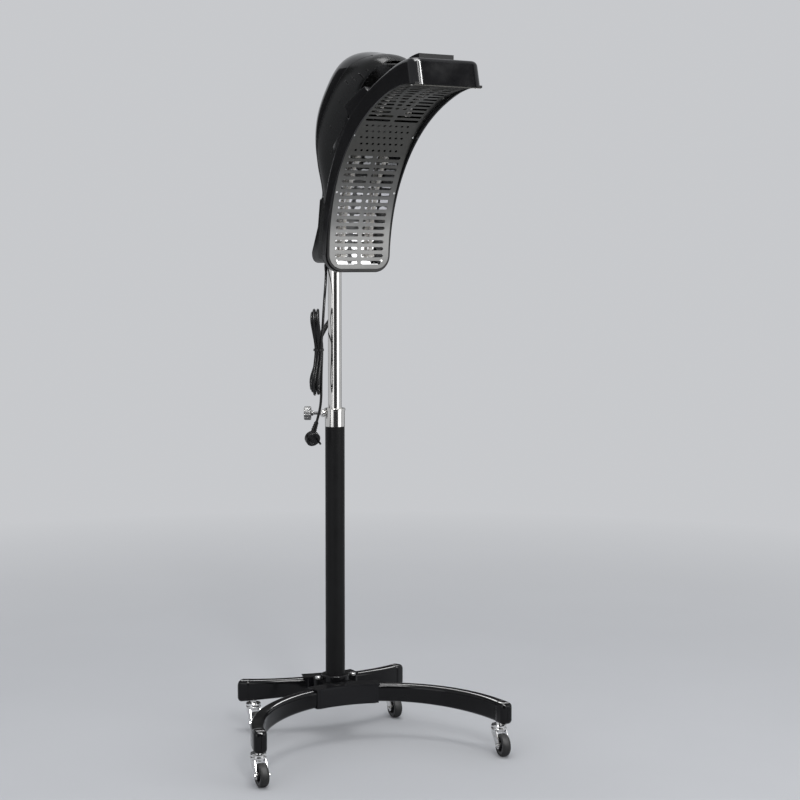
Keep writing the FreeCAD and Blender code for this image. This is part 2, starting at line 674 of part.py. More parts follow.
def dome_form(inset):
    """Egg-shaped part of the rear housing, lofted through ellipses about the head centre."""
    wires = []
    for angle, rear_radius, half_width in HOUSING_SECTIONS:
        rear = rear_radius - inset
        front = HOUSING_FRONT_RADIUS + inset
        half_depth = (rear - front) / 2.0
        half = half_width - inset
        centre = polar((rear + front) / 2.0, angle)
        if half >= half_depth:
            ellipse = Part.Ellipse(centre + X_AXIS * half, centre + outward(angle) * half_depth, centre)
        else:
            ellipse = Part.Ellipse(centre + outward(angle) * half_depth, centre - X_AXIS * half, centre)
        wires.append(Part.Wire(ellipse.toShape()))
    return Part.makeLoft(wires, True, False)


def shaft_boss():
    """Cone that carries the drive shaft out through the front of the housing."""
    base = HEAD_CENTRE + outward(DRIVE_ANGLE) * 396.0
    return Part.makeCone(25.0, 38.0, 52.0, base, outward(DRIVE_ANGLE))


def panel_frame():
    """Origin and directions of the sloping control face."""
    up_slope = side(0.493, 0.870) - side(0, 0)
    normal = side(-0.870, 0.493) - side(0, 0)
    return side(*PANEL_START), up_slope, normal


def panel_block(half_width, start, end, low, high):
    origin, up_slope, normal = panel_frame()
    corner = origin + up_slope * start + normal * low
    points = [corner + X_AXIS * -half_width, corner + X_AXIS * half_width,
              corner + X_AXIS * half_width + up_slope * (end - start),
              corner + X_AXIS * -half_width + up_slope * (end - start)]
    return prism(points, normal * (high - low))


def panel_rod(radius, x, along, low, high):
    origin, up_slope, normal = panel_frame()
    base = origin + X_AXIS * x + up_slope * along + normal * low
    return Part.makeCylinder(radius, high - low, base, normal)


def housing_shell():
    outer = dome_form(0.0).fuse(foot_form(0.0)).cut(Part.makeSphere(BOWL_RADIUS, HEAD_CENTRE))
    cavity = dome_form(SHELL_WALL).fuse(foot_form(SHELL_WALL))
    cavity = cavity.cut(Part.makeSphere(BOWL_RADIUS + SHELL_WALL, HEAD_CENTRE))
    shell = outer.cut(cavity)
    boss = shaft_boss().cut(Part.makeSphere(BOWL_RADIUS + 1.0, HEAD_CENTRE).common(
        Part.makeSphere(1.0, HEAD_CENTRE)))
    shell = shell.fuse(boss)
    shell = shell.cut(drive_rod(SHAFT_RADIUS + 6.5, 380.0, 500.0))
    mast_room = box(-27, 27, -30, 34, 1080, 1097)
    mast_room = mast_room.makeFillet(16.0, [edge for edge in mast_room.Edges if edge.Length < 18.0])
    shell = shell.cut(mast_room)
    return shell.cut(panel_block(23.0, 8.0, 52.0, -12.0, 8.0))


def seam_cylinder():
    return Part.makeCylinder(SEAM_RADIUS, 400.0, HEAD_CENTRE - X_AXIS * 200.0, X_AXIS)


def strip(points, half_width, x, thickness):
    """Flat bar along a line of side points, standing in the side plane."""
    pieces = []
    for start, end in zip(points, points[1:]):
        along = (end - start).normalize()
        across = along.cross(X_AXIS) * half_width
        offset = X_AXIS * x
        corners = [start + across + offset, end + across + offset, end - across + offset, start - across + offset]
        pieces.append(prism(corners, X_AXIS * thickness))
    for point in points:
        pieces.append(Part.makeCylinder(half_width, thickness, point + X_AXIS * x, X_AXIS))
    return fuse(pieces)


def drive_point(out, aside, x=0.0):
    return HEAD_CENTRE + outward(DRIVE_ANGLE) * out + onward(DRIVE_ANGLE) * aside + X_AXIS * x


def drive_block(out0, out1, aside0, aside1, x0, x1):
    corners = [drive_point(out0, aside0, x0), drive_point(out0, aside1, x0),
               drive_point(out0, aside1, x1), drive_point(out0, aside0, x1)]
    return prism(corners, outward(DRIVE_ANGLE) * (out1 - out0))


def housing_bracket():
    line = [side(0, TILT_HEIGHT), side(12, 1180), side(29, 1245), side(48, 1300),
            drive_point(463.0, 125.0), drive_point(463.0, 55.0)]
    bars = [strip(line, 9.0, x, 3.0) for x in (EYE_HALF_WIDTH + 0.5, -EYE_HALF_WIDTH - 3.5)]
    plate = drive_block(455.0, 458.0, -28.0, 80.0, -32.0, 32.0)
    body = fuse(bars + [plate])
    body = body.cut(Part.makeCylinder(TILT_PIN_RADIUS, 60.0, V(-30, 0, TILT_HEIGHT), X_AXIS))
    body = body.cut(drive_rod(16.0, 440.0, 500.0))
    return body.cut(drive_rod(15.0, 458.0, 500.0, 48.0))


def drive_bearing():
    ring = drive_rod(16.0, 449.0, 466.0).fuse(drive_rod(20.0, 458.0, 461.0))
    return ring.cut(drive_rod(SHAFT_RADIUS + RUNNING_GAP, 440.0, 480.0)).removeSplitter()


def involute_point(base_radius, radius):
    """Angle by which an involute has turned at a radius."""
    pressure = math.acos(min(1.0, base_radius / radius))
    return math.tan(pressure) - pressure


def gear(teeth, near, far, aside, phase):
    """Spur gear with involute flanks about an axis parallel to the drive axis."""
    pitch_radius = GEAR_MODULE * teeth / 2.0
    base_radius = pitch_radius * math.cos(math.radians(20.0))
    tip_radius = pitch_radius + 0.85 * GEAR_MODULE
    root_radius = pitch_radius - 1.2 * GEAR_MODULE
    backlash = 0.12 / pitch_radius
    half_tooth = math.pi / (2.0 * teeth) - backlash / 2.0
    pitch_turn = involute_point(base_radius, pitch_radius)
    flank_radii = [max(base_radius, root_radius), pitch_radius, tip_radius]
    flank = [(root_radius, half_tooth + pitch_turn)]
    for radius in flank_radii:
        flank.append((radius, half_tooth + pitch_turn - involute_point(base_radius, radius)))
    corners = []
    for tooth in range(teeth):
        middle = phase + 2.0 * math.pi * tooth / teeth
        outline = [(r, -a) for r, a in flank] + [(r, a) for r, a in reversed(flank)]
        for radius, angle in outline:
            corners.append(drive_point(near, aside + radius * math.cos(middle + angle),
                                       radius * math.sin(middle + angle)))
    return prism(corners, outward(DRIVE_ANGLE) * (far - near))


def gear_distance():
    return GEAR_MODULE * (GEAR_TEETH + PINION_TEETH) / 2.0


def arc_gear():
    hub_boss = drive_rod(17.0, GEAR_NEAR - 3.0, GEAR_FAR)
    return gear(GEAR_TEETH, GEAR_NEAR, GEAR_FAR, 0.0, math.pi / GEAR_TEETH).fuse(hub_boss).cut(
        drive_rod(SHAFT_RADIUS, 440.0, 500.0)).removeSplitter()


def motor_pinion():
    body = gear(PINION_TEETH, GEAR_NEAR, GEAR_FAR, gear_distance(), math.pi)
    return body.fuse(drive_rod(4.0, 462.0, 494.0, gear_distance())).removeSplitter()


def drive_motor():
    aside = gear_distance()
    flange = drive_rod(23.0, 481.0, 485.0, aside)
    can = drive_rod(20.0, 485.0, 528.0, aside)
    pillars = []
    for turn in (0.0, 75.0, -75.0):
        a = math.radians(turn)
        base = drive_point(458.0, aside + 19.0 * math.cos(a), 19.0 * math.sin(a))
        pillars.append(Part.makeCylinder(3.0, 24.0, base, outward(DRIVE_ANGLE)))
    body = fuse([flange, can] + pillars)
    return body.cut(drive_rod(4.0 + RUNNING_GAP, 470.0, 496.0, aside))


def control_board():
    board = drive_block(481.0, 482.6, 84.0, 138.0, -30.0, 30.0)
    relay = drive_block(482.6, 496.0, 90.0, 108.0, -22.0, -4.0)
    transformer = drive_block(482.6, 504.0, 106.0, 132.0, 2.0, 26.0)
    capacitor = Part.makeCylinder(5.0, 18.0, drive_point(482.6, 122.0, -16.0), outward(DRIVE_ANGLE))
    posts = []
    for aside in (92.0, 120.0):
        for x in (-13.0, 13.0):
            posts.append(Part.makeCylinder(1.4, 9.0, drive_point(472.0, aside, x), outward(DRIVE_ANGLE)))
    return fuse([board, relay, transformer, capacitor] + posts)


def control_panel():
    plate = panel_block(26.0, 5.0, 55.0, 0.0, 2.4)
    holes = [panel_rod(3.0 + RUNNING_GAP, 0.0, 39.0, -5.0, 6.0), panel_rod(3.0 + RUNNING_GAP, -12.5, 17.0, -5.0, 6.0)]
    return plate.cut(holes).cut(rocker_room())


def rocker_room():
    origin, up_slope, normal = panel_frame()
    corner = origin + X_AXIS * 6.5 + up_slope * 8.5 - normal * 4.0
    points = [corner, corner + X_AXIS * 12.0, corner + X_AXIS * 12.0 + up_slope * 17.0, corner + up_slope * 17.0]
    return prism(points, normal * 8.0)


def knob(radius, height, x, along, depth):
    """Knob with a skirt, a pointer rib and a spindle through the panel."""
    skirt = panel_rod(radius, x, along, 2.8, 5.2)
    body = panel_rod(radius * 0.78, x, along, 5.2, 2.8 + height)
    body = body.makeFillet(1.5, [edge for edge in body.Edges if edge.Closed][:1])
    spindle = panel_rod(3.0, x, along, -depth, 6.0)
    origin, up_slope, normal = panel_frame()
    corner = origin + X_AXIS * (x - 1.0) + up_slope * along + normal * 5.0
    rib = prism([corner, corner + X_AXIS * 2.0, corner + X_AXIS * 2.0 + up_slope * radius * 0.95,
                 corner + up_slope * radius * 0.95], normal * (height - 1.6))
    return fuse([skirt, body, spindle, rib])


def power_rocker():
    origin, up_slope, normal = panel_frame()
    centre = origin + X_AXIS * 12.5 + up_slope * 17.0 + normal * 0.5
    half = 8.0
    points = [(-half, 2.6), (0.0, 3.2), (half, 5.6), (half, 3.0), (3.0, -3.2), (-3.0, -3.2), (-half, 0.4)]
    corners = [centre + X_AXIS * -5.6 + up_slope * u + normal * n for u, n in points]
    pivot = Part.makeCylinder(1.6, 11.8, centre + X_AXIS * -5.9, X_AXIS)
    return prism(corners, X_AXIS * 11.2).fuse(pivot).removeSplitter()


def timer_body():
    body = panel_block(17.0, 26.0, 51.0, -20.0, -4.0)
    return body.cut(panel_rod(3.0 + RUNNING_GAP, 0.0, 39.0, -30.0, 6.0))


def build_neck_and_housing():
    save("neck_socket", neck_socket())
    pin = Part.makeCylinder(TILT_PIN_RADIUS, 34.0, V(-17, 0, TILT_HEIGHT), X_AXIS)
    save("tilt_pin", pin)
    shell = housing_shell()
    front = shell.common(seam_cylinder())
    rear = shell.cut(seam_cylinder())
    save("front_shell", front)
    save("rear_shell", rear)
    save("housing_bracket", housing_bracket())
    save("drive_bearing", drive_bearing())
    save("drive_motor", drive_motor())
    save("motor_pinion", motor_pinion())
    save("control_board", control_board())
    save("control_panel", control_panel())
    save("timer_body", timer_body())
    save("timer_knob", knob(11.5, 13.0, 0.0, 39.0, 12.0))
    save("heat_knob", knob(8.0, 10.0, -12.5, 17.0, 8.0))
    save("power_rocker", power_rocker())


# ---------------------------------------------------------------- arc head

def head_outline(inset):
    """Everything inside the front view of the head, with its rounded lower corners."""
    half = HEAD_HALF_WIDTH - inset
    low = HEAD_BOTTOM + inset
    corner = HEAD_BOTTOM_CORNER - inset
    top = 1600.0
    back_off = corner * (1.0 - math.sqrt(0.5))

    def at(x, z):
        return V(x, -700.0, z)

    edges = [
        Part.makeLine(at(-half, top), at(-half, low + corner)),
        Part.Arc(at(-half, low + corner), at(-half + back_off, low + back_off), at(-half + corner, low)).toShape(),
        Part.makeLine(at(-half + corner, low), at(half - corner, low)),
        Part.Arc(at(half - corner, low), at(half - back_off, low + back_off), at(half, low + corner)).toShape(),
        Part.makeLine(at(half, low + corner), at(half, top)),
        Part.makeLine(at(half, top), at(-half, top)),
    ]
    return Part.Face(Part.Wire(edges)).extrude(V(0, 800.0, 0))


def head_band(back_points, front_points, half_width):
    """Solid between a back curve and a front curve, extruded across the width."""
    back_points = [point - X_AXIS * half_width for point in back_points]
    front_points = [point - X_AXIS * half_width for point in front_points]
    edges = [
        smooth_edge(back_points),
        Part.makeLine(back_points[-1], front_points[0]),
        smooth_edge(front_points),
        Part.makeLine(front_points[-1], back_points[0]),
    ]
    return Part.Face(Part.Wire(edges)).extrude(X_AXIS * 2 * half_width)


def radius_at(point):
    return math.hypot(-point.y - HEAD_FORWARD, point.z - HEAD_HEIGHT)


def angle_at(point):
    return math.degrees(math.atan2(point.z - HEAD_HEIGHT, -point.y - HEAD_FORWARD)) % 360.0


def polar_points(pairs, inset=0.0):
    return [polar(radius - inset, angle) for angle, radius in pairs]


def head_form(inset):
    """Outer form of the head, or its cavity if inset is the wall."""
    inner_end = polar_points(HEAD_LIP)[0]
    outer_end = polar_points(HEAD_BACK)[-1]
    up_tip = (outer_end - inner_end).normalize()
    from_tip = up_tip.cross(X_AXIS)
    back = polar_points(HEAD_BACK[:-1], inset) + [outer_end + from_tip * inset - up_tip * inset]
    if inset == 0:
        front = polar_points(HEAD_LIP)
    else:
        mouth_depth = 50.0
        front = [inner_end + from_tip * inset - up_tip * mouth_depth] + polar_points([(130.0, 300.0), (188.0, 300.0)])
    half = HEAD_HALF_WIDTH - inset
    form = head_band(back, front, half).common(head_outline(inset)).Solids[0]
    tip_edges = [edge for edge in form.Edges
                 if edge.Curve.TypeId == "Part::GeomLine" and abs(abs(edge.CenterOfMass.x) - half) < 0.01
                 and angle_at(edge.CenterOfMass) < 82.0]
    form = form.makeFillet(HEAD_TIP_CORNER - inset, tip_edges)
    back_edges = []
    for edge in form.Edges:
        middle = edge.valueAt((edge.FirstParameter + edge.LastParameter) / 2.0)
        ends = [vertex.Point for vertex in edge.Vertexes]
        if min(radius_at(point) for point in ends + [middle]) > 377.0 - inset:
            back_edges.append(edge)
    return form.makeFillet(HEAD_BACK_ROUND - inset, back_edges)


def arc_housing(form):
    shell = form.cut(head_form(HEAD_WALL))
    return shell.cut(drive_rod(14.0, 370.0, 400.0))


def end_cover(form):
    """Raised cover on the back of the box at the upper end."""
    back = [(101.5, 393.0), (98.5, 404.0), (94.0, 411.5), (88.6, 414.5)]
    front = [(88.6, 388.0), (95.0, 384.0), (101.5, 380.0)]
    block = head_band(polar_points(back), polar_points(front), END_COVER_HALF_WIDTH)
    return block.cut(form)


def ring_sector(inner, outer, start_angle, end_angle, half_width):
    """Part of a wide ring about the head centre, between two angles."""
    def edge_arc(radius, first, last):
        return Part.Arc(polar(radius, first, -half_width), polar(radius, (first + last) / 2.0, -half_width),
                        polar(radius, last, -half_width)).toShape()

    edges = [
        edge_arc(outer, start_angle, end_angle),
        Part.makeLine(polar(outer, end_angle, -half_width), polar(inner, end_angle, -half_width)),
        edge_arc(inner, end_angle, start_angle),
        Part.makeLine(polar(inner, start_angle, -half_width), polar(outer, start_angle, -half_width)),
    ]
    return Part.Face(Part.Wire(edges)).extrude(X_AXIS * 2 * half_width)


def grille_outline(extra):
    """Front outline of the grille: wider towards the top, rounded lower corners."""
    low = polar(GRILLE_RADIUS, GRILLE_BOTTOM_ANGLE).z - extra
    top = 1460.0
    bottom_half = GRILLE_BOTTOM_HALF + extra
    top_half = GRILLE_TOP_HALF + extra
    points = [V(-top_half, -700, top), V(-bottom_half, -700, low), V(bottom_half, -700, low),
              V(top_half, -700, top)]
    solid = prism(points, V(0, 800, 0))
    corners = [edge for edge in solid.Edges
               if abs(edge.CenterOfMass.z - low) < 0.1 and abs(edge.CenterOfMass.x) > bottom_half - 1.0]
    return solid.makeFillet(GRILLE_CORNER + extra, corners)


def slot_tool(angle, start, end, height):
    """Round-ended cutter through the sheet, between two places across the width."""
    radius = height / 2.0
    base = HEAD_CENTRE + outward(angle) * (GRILLE_RADIUS - 8.0)
    up = onward(angle)

    def at(x, t):
        return base + X_AXIS * x + up * t

    left = start + radius
    right = end - radius
    edges = [
        Part.makeLine(at(left, -radius), at(right, -radius)),
        Part.Arc(at(right, -radius), at(end, 0), at(right, radius)).toShape(),
        Part.makeLine(at(right, radius), at(left, radius)),
        Part.Arc(at(left, radius), at(start, 0), at(left, -radius)).toShape(),
    ]
    return Part.Face(Part.Wire(edges)).extrude(outward(angle) * 16.0)


def slot_row(angle, spans):
    return [slot_tool(angle, start, end, SLOT_HEIGHT) for start, end in spans]


def grille_cutters():
    cutters = []
    rib = 4.5
    for row in range(LOWER_ROWS):
        end = 59.0 + 4.0 * row / LOWER_ROWS
        if row == 0:
            end = 54.0
        cutters += slot_row(LOWER_FIRST_ROW - ROW_PITCH * row, [(-end, -rib), (rib, end)])
    for row in range(UPPER_ROWS):
        end = 63.0
        if row < UPPER_PLAIN_ROWS:
            spans = [(-end, -rib), (rib, end)]
        else:
            split = 14.0 + 3.0 * (row - UPPER_PLAIN_ROWS)
            spans = [(-end, -split - 3.5), (-split + 3.5, -rib), (rib, split - 3.5), (split + 3.5, end)]
        wide_enough = [(start, stop) for start, stop in spans if stop - start > SLOT_HEIGHT + 1.0]
        cutters += slot_row(UPPER_FIRST_ROW - ROW_PITCH * row, wide_enough)
    last_lower = LOWER_FIRST_ROW - ROW_PITCH * (LOWER_ROWS - 1)
    gap = (last_lower - UPPER_FIRST_ROW) / (HOLE_ROWS + 1)
    for row in range(HOLE_ROWS):
        angle = last_lower - gap * (row + 1)
        shift = HOLE_PITCH / 4.0 if row % 2 else -HOLE_PITCH / 4.0
        for index in range(HOLES_PER_ROW):
            x = (index - (HOLES_PER_ROW - 1) / 2.0) * HOLE_PITCH + shift
            base = HEAD_CENTRE + outward(angle) * (GRILLE_RADIUS - 8.0) + X_AXIS * x
            cutters.append(Part.makeCylinder(HOLE_RADIUS, 16.0, base, outward(angle)))
    return cutters


def grille(housing):
    sheet = ring_sector(GRILLE_RADIUS - GRILLE_SHEET, GRILLE_RADIUS, GRILLE_BOTTOM_ANGLE + 2.0,
                        GRILLE_TIP_ANGLE, 80.0)
    return sheet.common(grille_outline(0.0)).cut(housing).cut(grille_cutters())


def grille_frame(housing):
    """Frame behind the edge of the grille, that fills the mouth of the housing."""
    outer = ring_sector(GRILLE_RADIUS, GRILLE_RADIUS + 5.0, 188.0, GRILLE_TIP_ANGLE - 0.5,
                        HEAD_HALF_WIDTH - HEAD_WALL)
    outer = outer.common(head_outline(HEAD_WALL))
    opening = ring_sector(GRILLE_RADIUS - 3.0, GRILLE_RADIUS + 8.0, 185.0, GRILLE_TIP_ANGLE + 1.4, 80.0)
    frame = outer.cut(opening.common(grille_outline(-6.0))).cut(housing)
    return max(frame.Solids, key=lambda solid: solid.Volume)


SCREW_ANGLES = [180.5, 155.0, 130.5, 105.0, 83.0]


def grille_screws():
    screws = []
    for angle in SCREW_ANGLES:
        share = (GRILLE_BOTTOM_ANGLE - angle) / (GRILLE_BOTTOM_ANGLE - GRILLE_TIP_ANGLE)
        x = GRILLE_BOTTOM_HALF + (GRILLE_TOP_HALF - GRILLE_BOTTOM_HALF) * share - 3.2
        if angle > 170.0:
            x -= 14.0
        for side_sign in (-1, 1):
            base = HEAD_CENTRE + outward(angle) * (GRILLE_RADIUS - GRILLE_SHEET - 0.03) + X_AXIS * side_sign * x
            head = Part.makeCylinder(2.4, 1.2, base, outward(angle) * -1.0)
            screws.append(head)
    return Part.makeCompound(screws)


def reflector(start_angle, end_angle):
    """Polished trough behind the grille, open towards the client."""
    half = 64.0
    trough = ring_sector(355.2, 375.0, start_angle, end_angle, half)
    inset_angle = 0.16
    room = ring_sector(350.0, 374.0, start_angle - inset_angle, end_angle + inset_angle, half - 1.0)
    return trough.cut(room)


HEATER_RADIUS = 362.5
HEATER_TUBE = 4.5
HEATER_X = 34.0


def heater(start_angle, end_angle):
    """Two quartz tubes that follow the arc."""
    tubes = []
    for x in (-HEATER_X, HEATER_X):
        centre = HEAD_CENTRE + X_AXIS * x
        first = polar(HEATER_RADIUS, start_angle, x)
        section = Part.Wire(Part.makeCircle(HEATER_TUBE, first, onward(start_angle)))
        tubes.append(Part.Face(section).revolve(centre, X_AXIS, start_angle - end_angle))
    return tubes


def heater_clip(angle, x):
    """Ceramic foot under one heating tube."""
    block = ring_sector(HEATER_RADIUS - 7.0, 374.0, angle + 0.7, angle - 0.7, 7.0)
    block.translate(X_AXIS * x)
    bore = Part.makeCylinder(HEATER_TUBE + 0.1, 30.0, polar(HEATER_RADIUS, angle, x) - onward(angle) * 15.0,
                             onward(angle))
    return block.cut(bore)


def drive_shaft():
    flange = drive_rod(28.0, 380.0, 384.6)
    boss = drive_rod(14.0, 384.6, 391.0)
    nut = drive_rod(18.0, 391.0, 394.5)
    rod = drive_rod(SHAFT_RADIUS, 391.0, 492.0)
    return fuse([flange, boss, nut, rod])


def build_head():
    form = head_form(0.0)
    housing = arc_housing(form)
    save("arc_housing", housing)
    save("end_cover", end_cover(form))
    save("grille", grille(housing))
    save("grille_frame", grille_frame(housing))
    save("grille_screws", grille_screws())
    zones = {"lower": (181.8, 139.2), "upper": (123.6, 83.0)}
    tubes = []
    clips = []
    for name, (start_angle, end_angle) in zones.items():
        save("reflector_" + name, reflector(start_angle, end_angle))
        tubes += heater(start_angle - 2.0, end_angle + 2.0)
        for angle in (start_angle - 3.5, end_angle + 3.5):
            for x in (-HEATER_X, HEATER_X):
                clips.append(heater_clip(angle, x))
    save("heater_tubes", Part.makeCompound(tubes))
    save("heater_clips", Part.makeCompound(clips))
    save("drive_shaft", drive_shaft())
    save("arc_gear", arc_gear())


build_base()
build_mast()
build_neck_and_housing()
build_head()
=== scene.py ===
import json
import math

import bmesh
import bpy
from mathutils import Matrix, Vector

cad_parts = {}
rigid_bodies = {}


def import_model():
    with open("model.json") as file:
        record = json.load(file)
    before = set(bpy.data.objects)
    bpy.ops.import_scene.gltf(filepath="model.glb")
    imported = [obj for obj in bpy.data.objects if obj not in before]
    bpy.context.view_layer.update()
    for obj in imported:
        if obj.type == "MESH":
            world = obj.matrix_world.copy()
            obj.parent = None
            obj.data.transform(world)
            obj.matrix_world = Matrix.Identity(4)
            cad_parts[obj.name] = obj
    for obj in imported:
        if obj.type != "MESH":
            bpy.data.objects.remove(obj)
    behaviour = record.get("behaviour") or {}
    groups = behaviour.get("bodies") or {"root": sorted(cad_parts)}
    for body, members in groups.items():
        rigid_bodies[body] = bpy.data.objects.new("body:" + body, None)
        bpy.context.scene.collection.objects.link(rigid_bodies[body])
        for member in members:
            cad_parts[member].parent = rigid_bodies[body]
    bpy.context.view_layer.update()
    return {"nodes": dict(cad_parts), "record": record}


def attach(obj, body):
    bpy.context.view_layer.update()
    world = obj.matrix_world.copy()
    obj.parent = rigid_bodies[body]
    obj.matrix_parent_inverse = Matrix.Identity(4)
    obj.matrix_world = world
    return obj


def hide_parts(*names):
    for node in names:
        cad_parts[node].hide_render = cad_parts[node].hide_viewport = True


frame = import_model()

# Camera, fitted to the photograph: the client's side seen from the front right.
CAMERA_TURN = math.radians(27.5)
CAMERA_ASIDE = 0.1571
CAMERA_DISTANCE = 3.743
CAMERA_HEIGHT = 1.0913
CAMERA_YAW = math.radians(0.101)
CAMERA_PITCH = math.radians(2.425)
CAMERA_LENS = 73.098
CAMERA_SENSOR = 36.0
CAMERA_SHIFT = -0.085
CAMERA_CLIP = (0.05, 60.0)
RIGHT = Vector((math.cos(CAMERA_TURN), -math.sin(CAMERA_TURN), 0.0))
TOWARDS = Vector((-math.sin(CAMERA_TURN), -math.cos(CAMERA_TURN), 0.0))

# Room and floor. The floor fades into the room's colour, so there is no horizon.
ROOM = (0.575, 0.585, 0.605)
FLOOR_RADIUS = 14.0
FLOOR_TONES = ((0.55, 0.56, 0.58), (0.57, 0.58, 0.60))
FLOOR_FADE = (0.9, 3.4)

# Sides of the part: the sign of x, and the word in the names.
SIDES = ((-1, "left"), (1, "right"))

# Forms that part.py doesn't have, on its base and housing. Names and values as there, in metres.
# Beams: name, stem of the caster (x, y), radius of the curve, y of its middle.
BASE_TURN = math.radians(-5.0)
BEAMS = [("front", (0.280, -0.294), 0.2845, -0.060), ("rear", (0.173, 0.084), 0.362, 0.040)]
BEAM_WIDTH = 0.028
# Heights of the underside and of the top, in the middle of a beam and at its stem
BEAM_LOW = (0.085, 0.073)
BEAM_HIGH = (0.124, 0.120)
BEAM_CORNER = 0.0085
END_START = 0.0065
END_FLAT = 0.006
END_REACH = 0.036
END_ROUND = 0.010
END_ROUND_ANGLES = (15, 30, 45, 60, 72, 82)
END_CORNER = 0.003
END_PROUD = 0.0004
CORNER_STEPS = 6

# Housing. HEAD_CENTRE is (y, z). An edge of a shell is found by its distance from there.
HEAD_CENTRE = (-0.4775, 1.100)
WHOLE_TURN = (-181.0, 181.0)
EDGE_POINTS = 5
SEAM_RADIUS = 0.485
SEAM_NEAR = 0.00005
SEAM_STEP = 1.5
SEAM_BEAD = 0.0009
SEAM_BOTTOM = 1.15
BOWL_RADIUS = 0.442
RIM_ANGLES = (100.0, 165.0)
RIM_NEAR = 0.0002
RIM_STEP = 2.0
RIM_BEAD = 0.0016
BEAD_STEPS = 4
BEAD_ROUNDNESS = 3

# Vents and screw seats of the left flank. The right one mirrors them.
VENT_SLOTS = [
    ((-0.0706, -0.2126, 1.4859), (-0.0678, -0.2155, 1.4804), (-0.0645, -0.2173, 1.4751)),
    ((-0.0663, -0.2374, 1.4914), (-0.0630, -0.2399, 1.4863), (-0.0591, -0.2411, 1.4813)),
    ((-0.0616, -0.2605, 1.4969), (-0.0572, -0.2626, 1.4912), (-0.0521, -0.2630, 1.4857)),
    ((-0.0551, -0.2812, 1.5021), (-0.0512, -0.2823, 1.4965), (-0.0443, -0.2775, 1.4916)),
    ((-0.0453, -0.2990, 1.5041), (-0.0371, -0.2915, 1.4992), (-0.0271, -0.2806, 1.4948)),
]
VENT_LIPS = [
    ((-0.0714, -0.2078, 1.4851), (-0.0688, -0.2110, 1.4795), (-0.0656, -0.2130, 1.4741)),
    ((-0.0672, -0.2329, 1.4905), (-0.0640, -0.2355, 1.4854), (-0.0601, -0.2370, 1.4804)),
    ((-0.0626, -0.2564, 1.4960), (-0.0584, -0.2586, 1.4903), (-0.0533, -0.2590, 1.4848)),
    ((-0.0565, -0.2777, 1.5011), (-0.0525, -0.2788, 1.4955), (-0.0465, -0.2757, 1.4904)),
    ((-0.0468, -0.2960, 1.5031), (-0.0391, -0.2895, 1.4981), (-0.0291, -0.2786, 1.4936)),
]
# Kind, rows, radius of the bead, how deep it is sunk, slot
VENT_KINDS = (
    ("slot", VENT_SLOTS, 0.0017, 0.0010, "frame_plastic"),
    ("lip", VENT_LIPS, 0.0013, -0.0004, "shell_plastic"),
)
# Mixed with the direction to the head's centre, it points into the left flank.
VENT_INTO = Vector((1.2, -0.1, 0.5))
# Place and outward direction
SHELL_SCREWS = [
    ((-0.0689, -0.1683, 1.4438), (-0.86, -0.38, -0.35)),
    ((-0.0681, -0.1226, 1.3918), (-0.82, -0.44, -0.37)),
    ((-0.0552, -0.0999, 1.3375), (-0.70, -0.58, -0.42)),
]
# Radius and height of the rings of a screw seat, from under its rim in to its middle
SCREW_PROFILE = ((0.0037, -0.0012), (0.0037, 0.0003), (0.0033, 0.0006), (0.0026, 0.0006),
                 (0.0024, 0.0001), (0.0013, -0.0003), (0.0004, -0.0003))
SCREW_STEPS = 24

# Cheeks beside the drive: corners as angle from forward and distance from HEAD_CENTRE.
CHEEKS = [
    [(112.0, 0.376), (114.0, 0.396), (117.2, 0.4005), (128.2, 0.4210), (127.6, 0.376)],
    [(128.2, 0.376), (128.6, 0.3875), (142.1, 0.4010), (143.2, 0.3840), (143.6, 0.370), (136.0, 0.370)],
]
CHEEK_OUTER = 0.0796
CHEEK_INNER = 0.050
CHEEK_BEVEL = 0.0014
CHEEK_SHARP = math.radians(35.0)

# Control panel: its lower edge, the direction up along it and the direction out of it.
PANEL_ORIGIN = Vector((0.0, 0.0473, 1.1234))
PANEL_UP = Vector((0.0, -0.493, 0.870))
PANEL_OUT = Vector((0.0, 0.870, 0.493))
PANEL_FACE = 0.0024
MARK_PROFILE = ((-0.0003, 1.0), (0.00012, 1.0), (0.0002, 0.85))
# Sideways place, place along the panel, radius, number of marks, sweep in degrees
DIALS = ((0.0, 0.039, 0.0136, 13, 300.0), (-0.0125, 0.017, 0.0101, 10, 270.0))
DIAL_MARK_LONG = 0.0022
DIAL_MARK_SHORT = 0.0013
MARK_WIDTH = 0.0004
# The rocker's marks: place along the panel, length and width of the line; place, radius and length in the ring
ROCKER_ASIDE = 0.0125
ROCKER_LINE = (0.0272, 0.0026, 0.0005)
ROCKER_RING = (0.0068, 0.0012, 0.0007)
ROCKER_RING_MARKS = 12

# The mains lead, in the same coordinates as part.py: sideways in the photograph, towards the camera, up.
CORD_DIAMETER = 0.006
CORD_STEPS = 10
CORD_ROUNDNESS = 4
UPPER_ROUTE = [
    (-0.0196, 0.004, 1.074), (-0.0196, 0.0175, 1.0506), (-0.0205, 0.031, 1.030),
    (-0.0220, 0.041, 1.006), (-0.0235, 0.047, 0.980), (-0.0250, 0.051, 0.950),
]
LOOSE_TURN = [
    (-0.0350, 0.026, 0.911), (-0.0290, 0.000, 0.924), (-0.0185, -0.027, 0.945), (-0.0075, -0.034, 0.972),
    (0.0000, -0.044, 0.993), (0.0030, -0.062, 0.995), (-0.0030, -0.079, 0.980), (-0.0150, -0.076, 0.960),
    (-0.0260, -0.052, 0.944), (-0.0320, -0.018, 0.932), (-0.0315, 0.012, 0.922),
]
LOWER_ROUTE = [
    (-0.0285, 0.044, 0.850), (-0.0292, 0.045, 0.812), (-0.0292, 0.045, 0.784),
    (-0.0320, 0.045, 0.757), (-0.0395, 0.045, 0.730),
]
HANK_TURNS = 5
HANK_FRONT = 0.047
